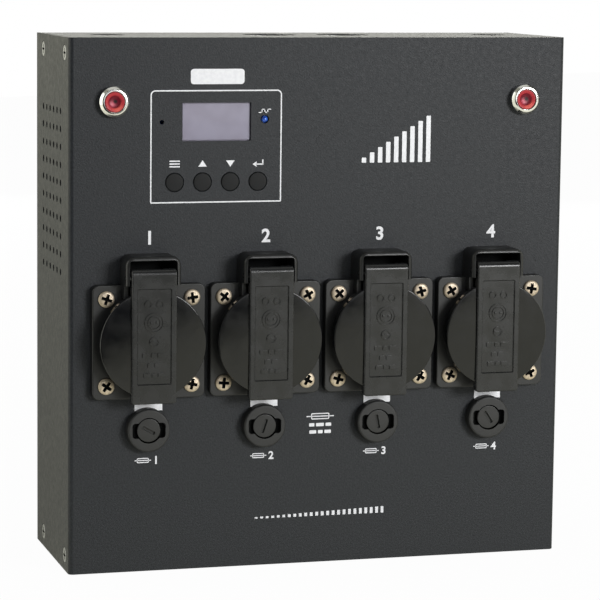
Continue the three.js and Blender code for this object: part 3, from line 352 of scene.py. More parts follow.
def lampLens():
    material = finish("lamp_lens", tone(150, 30, 36), 0.35, {"Specular IOR Level": 0.25},
                      bumps=(1.2, 0.02, 1.0))
    tree = material.node_tree
    # the lens's light and shade are painted in its colour: lighter spots are painted highlights, darker ones
    # painted shade in its well and middle
    colour = addNode(tree, "RGB").outputs[0]
    colour.default_value = tone(*lensShadedRim)
    for spot, span, shade in lensPaintedLight:
        pick = addNode(tree, "Mix", data_type="RGBA")
        tree.links.new(nearTo(tree, spot, span), pick.inputs[0])
        tree.links.new(colour, pick.inputs[6])
        pick.inputs[7].default_value = tone(*shade)
        colour = pick.outputs[2]
    tree.links.new(colour, tree.nodes["Principled BSDF"].inputs["Base Color"])
    return material


looks = {
    "powder": finish("powder_coat", tone(31, 34, 38), 0.5, {"Specular IOR Level": 0.32},
                     mottle=((24, 27, 31), (37, 40, 44), 0.8, 4.0), uneven=(0.45, 0.55, 2),
                     bumps=(0.7, 0.09)),
    "gloss": finish("gloss_plastic", tone(11, 12, 14), 0.16, mottle=((9, 10, 12), (13, 14, 16), 9),
                    uneven=(0.12, 0.2, 6), bumps=(5, 0.02, 1.0)),
    "satin": satinPlastic("satin_plastic"),
    "strap": satinPlastic("strap_plastic", 30, 0.26),
    "matt": satinPlastic("matt_plastic", 30, 0.55),
    "rubber": satinPlastic("button_rubber", 27, 0.6, 0.2),
    "nickel": platedSteel("nickel_plate", (205, 192, 172), 0.32),
    "zinc": platedSteel("zinc_plate", (216, 202, 182), 0.55),
    "steel": platedSteel("spring_steel", (150, 152, 155), 0.3),
    "brass": platedSteel("turned_brass", (196, 160, 88), 0.35),
    # near-black plastic coated on the walls and floors of recesses, as painted shade
    "painted_shade": satinPlastic("painted_recess_shade", 6, 0.8, 0.1),
    "chrome": finish("chrome_plate", tone(238, 238, 236), 0.14, {"Metallic": 1.0}, uneven=(0.1, 0.18, 3),
                     bumps=(2, 0.004, 1.0)),
    "red": lampLens(),
    "blue": finish("blue_lens", tone(38, 96, 200), 0.12, {"Coat Weight": 0.6},
                   mottle=((8, 30, 100), (38, 96, 200), 1.5, 1.0), bumps=(1.5, 0.05, 1.0)),
    "filter": finish("display_filter", tone(142, 138, 153), 0.12, {"Coat Weight": 0.3},
                     mottle=((139, 135, 149), (145, 142, 157), 8, 1.0), bumps=(6, 0.005, 1.0)),
    "glass": finish("clear_glass", (0.93, 0.95, 0.94, 1), 0.03, {"Transmission Weight": 0.9},
                    bumps=(3, 0.01, 1.0)),
    "ink": whiteInk("white_ink", 227),
    # whiter than the other print, as painted light on tabs that lie in the straps' shade
    "tab": whiteInk("tab_ink_painted_light", 250),
    "laminate": finish("board_laminate", tone(28, 92, 52), 0.35,
                       mottle=((24, 80, 46), (40, 112, 66), 6, 6.0), bumps=(0.8, 0.02)),
    "copper": finish("copper_wire", tone(176, 104, 58), 0.25, {"Metallic": 1.0},
                     mottle=((150, 84, 44), (190, 118, 68), 2), bumps=(0.6, 0.05)),
    "aluminium": finish("extruded_aluminium", tone(186, 189, 192), 0.38, {"Metallic": 1.0},
                        uneven=(0.3, 0.48, 1.5, 2.0, (1, 1, 0.08)), bumps=(0.6, 0.02, 3.0, (1, 1, 0.06))),
    "iron": finish("iron_laminate", tone(96, 98, 100), 0.45, {"Metallic": 0.8},
                   mottle=((70, 72, 74), (112, 114, 116), 0.6, 3.0, (1, 0.05, 0.05)),
                   bumps=(0.5, 0.08, 3.0, (1, 0.05, 0.05))),
    "nylon": finish("pale_nylon", tone(222, 217, 200), 0.5, mottle=((214, 208, 190), (228, 224, 208), 5),
                    bumps=(0.7, 0.02)),
    "tape": finish("yellow_tape", tone(206, 168, 62), 0.3, mottle=((190, 150, 50), (216, 180, 76), 7),
                   bumps=(2.5, 0.06)),
}
print("finishes made:", len(looks))


# Forms, drawn in millimetres. On the front, u runs right, v up and w towards the viewer;
# on a side, u runs towards the viewer, v up and w right; on top, u runs right, v back and w up.

def toSpace(plane, u, v, w):
    if plane == "front":
        return (u, -w, v)
    if plane == "side":
        return (w, -u, v)
    return (u, v, w)


def between(left, bottom, right, top):
    return [(left, bottom), (right, bottom), (right, top), (left, top)]


def rectangle(width, height, middle=(0, 0)):
    u, v = middle
    return between(u - width / 2, v - height / 2, u + width / 2, v + height / 2)


def softCorners(points, radii, steps=6):  # the outline with each corner rounded by its radius
    if not isinstance(radii, (list, tuple)):
        radii = [radii] * len(points)
    result = []
    for index, radius in enumerate(radii):
        corner = Vector(points[index])
        if radius <= 0:
            result.append(tuple(corner))
            continue
        before = (Vector(points[index - 1]) - corner).normalized()
        after = (Vector(points[(index + 1) % len(points)]) - corner).normalized()
        half = before.angle(after) / 2
        middle = corner + (before + after).normalized() * radius / math.sin(half)
        start = corner + before * radius / math.tan(half) - middle
        end = corner + after * radius / math.tan(half) - middle
        sweep = start.angle(end)
        for step in range(steps + 1):
            share = step / steps
            first = math.sin((1 - share) * sweep) / math.sin(sweep)
            second = math.sin(share * sweep) / math.sin(sweep)
            result.append(tuple(middle + start * first + end * second))
    return result


def inset(points, distance):  # the outline moved inwards; it runs anticlockwise
    if distance == 0:
        return points
    moved = []
    for index, point in enumerate(points):
        here = Vector(point)
        before = (here - Vector(points[index - 1])).normalized()
        after = (Vector(points[(index + 1) % len(points)]) - here).normalized()
        first = Vector((-before.y, before.x))
        second = Vector((-after.y, after.x))
        moved.append(tuple(here + (first + second) * distance / (1 + first.dot(second))))
    return moved


def directions(points):  # each point of a line, and the way the line runs there
    ends = [points[0], *points, points[-1]]
    pairs = zip(points, ends, ends[2:])
    return [(Vector(here), (Vector(after) - Vector(before)).normalized()) for here, before, after in pairs]


def quarterAngles(steps):
    return [math.pi / 2 * step / steps for step in range(steps + 1)]


def crowned(radius, face, edge, crown, steps):
    # The profile of a rounded rim and of the shallow dome inside it, whose middle is at face
    flat, rimFace = radius - edge, face - crown
    profile = [(flat + edge * math.cos(angle), rimFace - edge * (1 - math.sin(angle)))
               for angle in quarterAngles(4)]
    for step in range(1, steps + 1):
        share = 1 - step / steps
        profile.append((flat * share, rimFace + crown * (1 - share * share)))
    return profile


def meshFrom(shape):
    mesh = bpy.data.meshes.new("form")
    shape.to_mesh(mesh)
    shape.free()
    return mesh


def toForm(shape):
    bmesh.ops.recalc_face_normals(shape, faces=shape.faces)
    return addObject("form", meshFrom(shape))


def closeRings(shape, rings):
    shape.faces.new(rings[0])
    shape.faces.new(rings[-1])
    for lower, upper in zip(rings, rings[1:]):
        for index in range(len(lower)):
            shape.faces.new((lower[index - 1], lower[index], upper[index], upper[index - 1]))
    return toForm(shape)


def layered(points, levels, plane="front"):
    # A solid through one outline, inset by levels' first value at the height of their second
    shape = bmesh.new()
    rings = []
    for amount, w in levels:
        rings.append([shape.verts.new(toSpace(plane, u, v, w)) for u, v in inset(points, amount)])
    return closeRings(shape, rings)


def edgeLevels(start, end, edge, farEdge, steps=4):
    angles = quarterAngles(steps)
    levels = [(farEdge * (1 - math.sin(angle)), start + farEdge * (1 - math.cos(angle)))
              for angle in (angles if farEdge else angles[:1])]
    levels += [(edge * (1 - math.cos(angle)), end - edge * (1 - math.sin(angle)))
               for angle in (angles if edge else angles[:1])]
    return levels


def slab(points, start, end, plane="front", edge=0.0, farEdge=0.0):
    # An outline given thickness, its edges rounded at the end and at the start
    return layered(points, edgeLevels(start, end, edge, farEdge), plane)


def box(low, high):
    return slab(between(low[0], low[1], high[0], high[1]), low[2], high[2], "top")


def turned(profile, plane="front", middle=(0, 0), steps=64, closed=False, ripple=0.0, ripples=0):
    # A profile of radius and height turned about its axis
    shape = bmesh.new()
    rings = []
    for radius, w in profile:
        ring = []
        for step in range(steps if radius > 1e-6 else 1):
            angle = 2 * math.pi * step / steps
            reach = radius + ripple * math.cos(angle * ripples) if radius > 1e-6 else 0
            u = middle[0] + reach * math.cos(angle)
            v = middle[1] + reach * math.sin(angle)
            ring.append(shape.verts.new(toSpace(plane, u, v, w)))
        rings.append(ring)
    pairs = list(zip(rings, rings[1:]))
    if closed:
        pairs.append((rings[-1], rings[0]))
    for lower, upper in pairs:
        for step in range(steps):
            corners = [lower[step - 1], lower[step]] if len(lower) > 1 else lower[:1]
            corners += [upper[step], upper[step - 1]] if len(upper) > 1 else upper[:1]
            shape.faces.new(corners)
    return toForm(shape)


def bar(diameter, start, end, plane="front", middle=(0, 0), edge=0.0, farEdge=0.0, steps=64):
    # A round bar with rounded ends
    radius = diameter / 2
    levels = edgeLevels(start, end, edge, farEdge)
    profile = [(0, start), *[(radius - amount, w) for amount, w in levels], (0, end)]
    return turned(profile, plane, middle, steps)


def holeTool(diameter, start, end, plane="front", middle=(0, 0), flare=0.0, wide=0.0, steps=48):
    # Cuts a hole; its edge is broken by flare, or sunk to the diameter wide, at the end
    radius = diameter / 2
    outer = wide / 2 if wide else radius + flare
    drop = outer - radius
    sign = 1 if end > start else -1
    profile = [(0, start - sign * over), (radius, start - sign * over)]
    if drop:
        profile.append((radius, end - sign * drop))
    profile += [(outer, end), (outer, end + sign * over), (0, end + sign * over)]
    return turned(profile, plane, middle, steps)


def discard(form):
    mesh = form.data
    bpy.data.objects.remove(form)
    bpy.data.meshes.remove(mesh)


def gather(forms):  # several forms as one, without joining their surfaces
    shape = bmesh.new()
    for form in forms:
        shape.from_mesh(form.data)
        discard(form)
    return addObject("form", meshFrom(shape))


def combine(base, forms, operation):
    for form in forms:
        step = base.modifiers.new("step", "BOOLEAN")
        step.operation = operation
        step.solver = "EXACT"
        step.material_mode = "TRANSFER"
        step.object = form
    graph = bpy.context.evaluated_depsgraph_get()
    mesh = bpy.data.meshes.new_from_object(base.evaluated_get(graph))
    old = base.data
    base.modifiers.clear()
    base.data = mesh
    bpy.data.meshes.remove(old)
    for form in forms:
        discard(form)
    return base


def weld(base, *forms):
    return combine(base, forms, "UNION")


def carve(base, *forms):
    return combine(base, forms, "DIFFERENCE")


def coat(form, look):
    form.data.materials.clear()
    form.data.materials.append(looks[look])
    return form


def assemble(forms):  # coated forms as one piece that keeps each form's materials
    materials = []
    shape = bmesh.new()
    for form in forms:
        own = list(form.data.materials)
        materials += [material for material in own if material not in materials]
        count = len(shape.faces)
        shape.from_mesh(form.data)
        shape.faces.ensure_lookup_table()
        for face in shape.faces[count:]:
            face.material_index = materials.index(own[face.material_index])
        discard(form)
    mesh = meshFrom(shape)
    for material in materials:
        mesh.materials.append(material)
    return addObject("form", mesh)


meshCare = {"joinedWithin": 0.002, "sharpAngle": 35}  # in millimetres and degrees


def tidyMesh(form):
    near = meshCare["joinedWithin"]
    shape = bmesh.new()
    shape.from_mesh(form.data)
    bmesh.ops.remove_doubles(shape, verts=shape.verts, dist=near)
    bmesh.ops.dissolve_degenerate(shape, dist=near, edges=shape.edges)
    shape.to_mesh(form.data)
    shape.free()
    form.data.transform(Matrix.Scale(mm, 4))
    for polygon in form.data.polygons:
        polygon.use_smooth = True
    form.data.set_sharp_from_angle(angle=math.radians(meshCare["sharpAngle"]))
    weigh = form.modifiers.new("normals", "WEIGHTED_NORMAL")
    weigh.keep_sharp = True


def place(name, form, at=(0, 0, 0), body="root", stands=(), slot=None, look=None, turn=0.0):
    # Names a form, puts it in its place in millimetres and lets it ride on its body.
    # A form that already has a place stays there, and a copy of it is used.
    if form.get("tidy"):
        form = form.copy()
        form.parent = None
        bpy.context.scene.collection.objects.link(form)
    else:
        if look:
            coat(form, look)
        tidyMesh(form)
        form["tidy"] = True
    form.name = name
    form.data.name = name
    form.rotation_euler = (0, turn, 0)
    form.location = Vector(at) * mm
    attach(form, body)
    if stands:
        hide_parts(*stands)


# Case: the front cover folds round both sides, and the chassis is the top, back and bottom

case = {
    "sheet": 1.5,
    "bend": 2.2,
    "edge": 0.15,
    "chassisEdge": 0.1,
    "flangeStart": 2,  # behind the front
    "flangeDrop": 13.5,
    "slack": 0.3,  # between the cover and the chassis
    "ventPitch": 7.8,
    "ventRows": 10,
    "ventColumns": 6,
    "ventHole": 2.9,
    "ventStart": 18.5,  # first column behind the front
    "ventTop": 0.8615 * caseHeight,
    "fuseHole": 16,
    "lampHole": 9.2,
    "flare": 0.12,  # the broken edge of a hole in the cover
    "topFlare": 0.15,
    "sideScrewYs": (9.7, 57.9),  # behind the front
    "sideScrewEdge": 6.8,  # from the top and the bottom
    "sideScrewHead": 6.8,
    "sideScrewSeat": 7.3,
    "sideScrewHole": 4.3,
    "sideScrewShank": 3.2,
    "sideScrewThread": 3.3,  # the hole in the chassis
}

display = {
    "width": 30.8,
    "height": 16.7,
    "corner": 0.4,
    "sink": 1.1,  # the window's face behind the panel
    "rim": 2,
    "slack": 0.3,  # round the window, and behind the panel
    "trimmer": (-24.4, 0),  # from the window's middle
    "trimmerHole": 1.9,
    "trimmerFlare": 0.1,
    "buttonHole": 8.2,
    "buttonFlare": 0.2,
    "statusHole": 3.6,
    "statusFlare": 0.15,
    "board": (66, 53),
    "boardDrop": 10.6,
    "postInset": 3.4,
    "post": 5,
    "postLength": 8.7,
}

dimmer = {
    "post": 6,
    "postLength": 21.7,
    "postInset": 5,
    "mark": 6.2,  # ring that each clinched post leaves in the paint
    "markWidth": 0.45,
    "markDepth": 0.07,
}

socket = {
    "flange": 50,
    "flangeCorner": 3,
    "flangeFace": 4.3,
    "flangeEdge": 0.5,
    "screw": 19,  # from the middle, across and up
    "screwHole": 3.6,
    "contact": 9.5,  # from the middle, across
    "contactHole": 4.5,
    "collar": 44,
    "collarFace": 9.3,
    "collarEdge": 0.4,
    "well": 39.6,
    "wellFlare": 0.35,
    "barrel": 43,
    "barrelHole": 43.6,
    "barrelEnd": -25.6,
    "barrelEdge": 0.8,
    "floorFace": -23.6,
    "seat": 0.02,
}

windowMiddle = nodeMiddle("display_window")
socketMiddles = [nodeMiddle("socket_%d_insert" % n) for n in channels]
fuseMiddles = [nodeMiddle("fuse_%d_link" % n) for n in channels]
lampMiddles = [nodeMiddle("%s_lamp_lens" % side) for side in sides]
buttonMiddles = [nodeMiddle(name) for name in buttonNames]
statusMiddle = nodeMiddle("status_led")


def controlPosts():
    across = display["board"][0] / 2 - display["postInset"]
    up = display["board"][1] / 2 - display["postInset"]
    middle = windowMiddle.z - display["boardDrop"]
    return [(windowMiddle.x + u * across, middle + v * up) for u in (-1, 1) for v in (-1, 1)]


def dimmerPosts():
    low, high = nodeBox("dimmer_board")
    left, right = low.x + dimmer["postInset"], high.x - dimmer["postInset"]
    bottom, top = low.z + dimmer["postInset"], high.z - dimmer["postInset"]
    return [(left, top), (0, top), (right, top), (left, bottom), (right, bottom)]


def sideScrewPlaces():
    edge = case["sideScrewEdge"]
    return [(y, z) for y in case["sideScrewYs"] for z in (edge, caseHeight - edge)]


def coverHoles():
    tools = []

    def frontHole(diameter, x, z, flare=case["flare"], steps=48):
        tools.append(holeTool(diameter, -case["sheet"], 0, middle=(x, z), flare=flare, steps=steps))

    for middle in socketMiddles:
        frontHole(socket["barrelHole"], middle.x, middle.z)
        for u in (-1, 1):
            for v in (-1, 1):
                x = middle.x + u * socket["screw"]
                frontHole(socket["screwHole"], x, middle.z + v * socket["screw"], steps=16)
    for middle in fuseMiddles:
        frontHole(case["fuseHole"], middle.x, middle.z)
    for middle in lampMiddles:
        frontHole(case["lampHole"], middle.x, middle.z)
    for middle in buttonMiddles:
        frontHole(display["buttonHole"], middle.x, middle.z, display["buttonFlare"])
    frontHole(display["statusHole"], statusMiddle.x, statusMiddle.z, display["statusFlare"], 24)
    x, z = display["trimmer"]
    frontHole(display["trimmerHole"], windowMiddle.x + x, windowMiddle.z + z, display["trimmerFlare"], 24)
    opening = rectangle(display["width"], display["height"], (windowMiddle.x, windowMiddle.z))
    tools.append(slab(softCorners(opening, display["corner"], 4), -case["sheet"] - over, over))
    return tools


def ventTools():
    tools = []
    for side in (-1, 1):
        outer = side * caseWidth / 2
        inner = outer - side * case["sheet"]
        for row in range(case["ventRows"]):
            for column in range(case["ventColumns"]):
                y = case["ventStart"] + column * case["ventPitch"]
                z = case["ventTop"] - row * case["ventPitch"]
                tools.append(holeTool(case["ventHole"], inner, outer, "side", (-y, z), case["flare"],
                                      steps=20))
        for y, z in sideScrewPlaces():
            tools.append(holeTool(case["sideScrewHole"], inner, outer, "side", (-y, z),
                                  wide=case["sideScrewSeat"], steps=32))
    return tools


def postMarks():
    outer = dimmer["mark"] / 2
    ring = between(outer - dimmer["markWidth"], -dimmer["markDepth"], outer, over)
    return [turned(ring, middle=spot, steps=40, closed=True) for spot in controlPosts() + dimmerPosts()]


def addCover():
    sheet, bend = case["sheet"], case["bend"]
    outer, inner = caseWidth / 2, caseWidth / 2 - sheet
    plan = [(-outer, caseDepth), (-outer, 0), (outer, 0), (outer, caseDepth),
            (inner, caseDepth), (inner, sheet), (-inner, sheet), (-inner, caseDepth)]
    radii = [0, bend, bend, 0, 0, bend - sheet, bend - sheet, 0]
    cover = slab(softCorners(plan, radii, 8), 0, caseHeight, "top", case["edge"], case["edge"])
    posts = []
    for sizes, spots in ((display, controlPosts()), (dimmer, dimmerPosts())):
        end = -sheet - sizes["postLength"]
        posts += [bar(sizes["post"], end, -sheet + lap, middle=spot, steps=32) for spot in spots]
    weld(cover, gather(posts))
    carve(cover, gather(coverHoles()), gather(ventTools()), gather(postMarks()))
    place("painted_cover", cover, (0, frontFace, 0), stands=["front_cover"], slot="powder_coat",
          look="powder")


control = {
    "hole": 24,
    "screws": ((-9.5, -12), (9.5, 12)),
    "screwHole": 3.2,
    "screwHead": 6,
    "screwSeat": 6.1,
    "screwShank": 2.8,
    "bushingHole": 15.5,
}
keyhole = {
    "head": 9,
    "neck": 4.5,
    "cornerShare": 1 / 2.05,  # of the neck: nearly a half, so its end is round
    "rise": 8,
    "across": 0.36 * caseWidth,
    "levelShares": (0.2, 0.8),
}
controlMiddles = [nodeMiddle("control_%s_socket" % name) for name in ("input", "output")]
bushingMiddles = [nodeMiddle("%s_cable_bushing" % side) for side in sides]


def chassisTools(width):
    sheet = case["sheet"]
    tools, necks = [], []

    def topHole(diameter, middle, spot=(0, 0), **edge):
        spot = (middle.x + spot[0], middle.y - frontFace + spot[1])
        tools.append(holeTool(diameter, caseHeight - sheet, caseHeight, "top", spot, **edge))

    for middle in controlMiddles:
        topHole(control["hole"], middle, flare=case["topFlare"])
        for spot in control["screws"]:
            topHole(control["screwHole"], middle, spot, wide=control["screwSeat"], steps=32)
    for middle in bushingMiddles:
        topHole(control["bushingHole"], middle, flare=case["topFlare"])
    start, end = -caseDepth - over, -caseDepth + sheet + over
    corner = keyhole["neck"] * keyhole["cornerShare"]
    for x in (-keyhole["across"], keyhole["across"]):
        for share in keyhole["levelShares"]:
            z = caseHeight * share
            tools.append(bar(keyhole["head"], start, end, middle=(x, z), steps=40))
            neck = rectangle(keyhole["neck"], keyhole["rise"], (x, z + keyhole["rise"] / 2))
            necks.append(slab(softCorners(neck, [0, 0, corner, corner]), start, end))
    for side in (-1, 1):
        outer = side * width / 2
        for y, z in sideScrewPlaces():
            tools.append(holeTool(case["sideScrewThread"], outer - side * sheet, outer, "side", (-y, z),
                                  steps=24))
    return gather(tools), gather(necks)


def addChassis():
    sheet, bend, drop = case["sheet"], case["bend"], case["flangeDrop"]
    width = caseWidth - 2 * sheet - 2 * case["slack"]
    front = -sheet - case["slack"]  # as reach, from the front face
    back = -caseDepth
    small = bend - sheet
    outline = [(front, 0), (front, sheet), (back + sheet, sheet), (back + sheet, caseHeight - sheet),
               (front, caseHeight - sheet), (front, caseHeight), (back, caseHeight), (back, 0)]
    outline = softCorners(outline, [0, 0, small, small, 0, 0, bend, bend], 8)
    chassis = slab(outline, -width / 2, width / 2, "side", case["chassisEdge"], case["chassisEdge"])
    flanges = []
    for side in (-1, 1):
        low, high = sorted((side * width / 2, side * (width / 2 - sheet)))
        for bottom, top in ((sheet - lap, drop), (caseHeight - drop, caseHeight - sheet + lap)):
            flanges.append(box((low, case["flangeStart"], bottom), (high, caseDepth + front, top)))
    weld(chassis, gather(flanges))
    carve(chassis, *chassisTools(width))
    place("painted_chassis", chassis, (0, frontFace, 0), stands=["chassis"], slot="powder_coat",
          look="powder")


addCover()
addChassis()
print("case folded")


# Screws, with a cross recess in a plated head

screw = {
    "head": 7.2,
    "rise": 1.5,
    "cross": 4.9,
    "arm": 1.45,
    "crossDepth": 0.95,
    "taperShare": 0.32,  # of an arm's width, from its top to its floor
    "edge": 0.1,
    "sideShare": 0.35,  # of the rise, before the dome starts
    "domePower": 0.6,
    "shank": 3,
    "shankEdge": 0.3,
    "length": 9,
    "flushLength": 6,
    "flushSink": 0.03,
    "flushCrossShare": 0.62,  # of the head, as the next one
    "flushArmShare": 0.14,
    "flushDepth": 1.2,
    "flushTurns": {"top": (-90, "X"), "left": (-90, "Z"), "right": (90, "Z")},
    "turns": (20, -8, 35, 12, 40, 62, 5, 28, 47, 74, 15, 33, 58, 9, 25, 66),
}


def crossTool(width, arm, face, depth):
    levels = [(arm * screw["taperShare"], face - depth), (0, face + lap), (0, face + over)]
    sizes = ((width, arm), (arm, width))
    # the cross recess is coated near black, as painted shade
    return [coat(layered(rectangle(*size), levels), "painted_shade") for size in sizes]


def screwForm(head, rise, shank, length):  # a pan head standing on a surface at height 0
    radius = head / 2
    side = rise * screw["sideShare"]
    dome = [(radius * math.cos(angle) ** screw["domePower"], side + (rise - side) * math.sin(angle))
            for angle in quarterAngles(8)[:-1]]
    form = coat(turned([(0, 0), (radius - screw["edge"], 0), *dome, (0, rise)], steps=48), "zinc")
    width = screw["cross"] * head / screw["head"]
    carve(form, *crossTool(width, screw["arm"], rise - lap, screw["crossDepth"]))
    return weld(form, bar(shank, -length, screw["edge"], farEdge=screw["shankEdge"], steps=24))


def flushForm(head, shank, plane):  # a countersunk head whose face is flush at height 0
    radius, length, edge = head / 2, screw["flushLength"], screw["edge"]
    drop = radius - shank / 2
    form = coat(turned([(0, -length), (shank / 2, -length), (shank / 2, -drop), (radius - edge, -edge),
                        (radius - 2 * edge, 0), (0, 0)], steps=40), "steel")
    width, arm = head * screw["flushCrossShare"], head * screw["flushArmShare"]
    carve(form, *crossTool(width, arm, -edge, min(screw["flushDepth"], drop)))
    turn, axis = screw["flushTurns"][plane]
    form.data.transform(Matrix.Rotation(math.radians(turn), 4, axis))
    return form


def addScrews():
    form = screwForm(screw["head"], screw["rise"], screw["shank"], screw["length"])
    level, step = frontFace - socket["flangeFace"], socket["screw"]
    spots = [(middle.x + u * step, level, middle.z + v * step)
             for middle in socketMiddles for v in (1, -1) for u in (-1, 1)]
    for index, (at, turn) in enumerate(zip(spots, screw["turns"])):
        place("flange_screw_%d" % (index + 1), form, at, slot="nickel", turn=math.radians(turn))
    for side, sign in zip(sides, (-1, 1)):
        form = flushForm(case["sideScrewHead"], case["sideScrewShank"], side)
        for index, (y, z) in enumerate(sideScrewPlaces()):
            at = (sign * (caseWidth / 2 - screw["flushSink"]), frontFace + y, z)
            place("%s_side_screw_%d" % (side, index + 1), form, at, slot="nickel")
    form = flushForm(control["screwHead"], control["screwShank"], "top")
    for name, middle in zip(("input", "output"), controlMiddles):
        for index, (across, along) in enumerate(control["screws"]):
            at = (middle.x + across, middle.y + along, caseHeight - screw["flushSink"])
            place("%s_socket_screw_%d" % (name, index + 1), form, at, slot="nickel")


addScrews()
print("screws set")


# Socket housings with their hinge hoods

hood = {
    "width": 24.3,
    "top": 38,  # above the socket's middle
    "band": 1.9,
    "reach": 13,
    "back": 2,
    "corner": 4,
    "roomCorner": 0.8,
    "foot": 19.5,
    "ear": 1.75,
    "earStep": 25.5,
    "pinHole": 2.4,
    "round": 1.45,
    "flare": 0.25,
    "trimCorner": 1.2,
    "trimSide": 30,
    "trimBelow": 20,
    "gapDepth": 0.6,  # of the shaded pocket behind the strap's top
    "gapInset": 0.2,
}
pin = {"diameter": 1.8, "reach": 10.8, "above": 28.6, "length": 23.7, "edge": 0.3}
pinSpot = (pin["reach"], pin["above"])


def hoodForm():
    reach, back, corner = hood["reach"], hood["back"], hood["corner"]
    outer = hood["width"] / 2
    inner = outer - hood["ear"]
    crown = hood["top"] - hood["band"]
    outline = softCorners(between(-outer, hood["foot"], outer, hood["top"]), [0, 0, corner, corner], 8)
    form = coat(slab(outline, socket["seat"], reach, edge=hood["round"]), "satin")
    corner, flare = hood["roomCorner"], hood["flare"]
    room = softCorners(between(-inner, hood["foot"] - over, inner, crown), [0, 0, corner, corner])
    room = layered(room, [(0, back), (0, reach - flare), (-flare, reach), (-flare, reach + over)])
    less = hood["gapInset"]
    gap = between(-inner + less, hood["earStep"], inner - less, crown - less)
    # the pocket behind the strap's top is coated near black, as painted shade
    carve(form, room, coat(slab(gap, back - hood["gapDepth"], back + over), "painted_shade"))
    trim = between(-hood["trimSide"], -hood["trimBelow"], hood["trimSide"], hood["earStep"])
    trim = slab(softCorners(trim, hood["trimCorner"]), socket["collarFace"], reach + over)
    return carve(form, trim, bar(hood["pinHole"], -hood["width"], hood["width"], "side", pinSpot, steps=32))


def housingForm():
    face, collarFace = socket["flangeFace"], socket["collarFace"]
    floor, end = socket["floorFace"], socket["barrelEnd"]
    outline = softCorners(rectangle(socket["flange"], socket["flange"]), socket["flangeCorner"], 8)
    form = coat(slab(outline, socket["seat"], face, edge=socket["flangeEdge"]), "satin")
    collar = bar(socket["collar"], face - lap, collarFace, edge=socket["collarEdge"], steps=96)
    barrel = bar(socket["barrel"], end, lap, farEdge=socket["barrelEdge"], steps=96)
    weld(form, collar, barrel, hoodForm())
    well = holeTool(socket["well"], floor, collarFace, flare=socket["wellFlare"], steps=96)
    holes = []
    for u in (-1, 1):
        spot = (u * socket["contact"], 0)
        holes.append(bar(socket["contactHole"], end - over, floor + over, middle=spot, steps=24))
        for v in (-1, 1):
            spot = (u * socket["screw"], v * socket["screw"])
            holes.append(bar(socket["screwHole"], -over, face + over, middle=spot, steps=24))
    return carve(form, well, gather(holes))


insert = {
    "diameter": 39,
    "face": -8.2,
    "back": -22.2,
    "edge": 0.4,
    "pinHole": 5.2,
    "pinFlare": 0.6,
    "pinSpacing": 19,
    "boss": 9.5,
    "bossRise": 0.8,
    "bossEdge": 0.3,
    "bossFoot": 0.5,
    "notch": (6.6, 5),
    "notchReach": 18.7,
    "notchCorner": 0.4,
}
clip = {
    "width": 6,
    "thickness": 0.8,
    "rise": 12,
    "bulge": 2.2,
    "back": -23.3,
    "outer": 19.09,
    "edge": 0.12,
    "radii": (0.9, 1.5, 3, 0.3, 0.3, 3, 1.5, 0.4),
}


def insertForm():
    back, face = insert["back"], insert["face"]
    front = face + insert["bossRise"]
    form = bar(insert["diameter"], back, face, edge=insert["edge"], steps=96)
    bosses, tools = [], []
    for u in (-1, 1):
        spot = (u * insert["pinSpacing"] / 2, 0)
        bosses.append(bar(insert["boss"], face - insert["bossFoot"], front, middle=spot,
                          edge=insert["bossEdge"], steps=40))
        tools.append(holeTool(insert["pinHole"], back, front, middle=spot, flare=insert["pinFlare"],
                              steps=40))
        notch = rectangle(*insert["notch"], (0, u * insert["notchReach"]))
        tools.append(slab(softCorners(notch, insert["notchCorner"], 3), back - over, face + over))
    weld(form, *bosses)
    return carve(form, gather(tools))


def clipForm():
    face, back = insert["face"], clip["back"]
    tip, bend = face + clip["rise"], face + clip["rise"] / 2
    outer, thick = clip["outer"], clip["thickness"]
    half = [(back, outer), (face, outer), (bend, outer - clip["bulge"]), (tip, outer),
            (tip, outer - thick), (bend, outer - thick - clip["bulge"]), (face, outer - thick),
            (back + thick, outer - thick)]
    mirrored = [(reach, -level) for reach, level in reversed(half)]
    radii = [*clip["radii"], *reversed(clip["radii"])]
    outline = softCorners((half + mirrored)[::-1], radii[::-1], 4)
    return slab(outline, -clip["width"] / 2, clip["width"] / 2, "side", clip["edge"], clip["edge"])


# Lids, each a disc with a moulded strap that hooks round the hinge pin

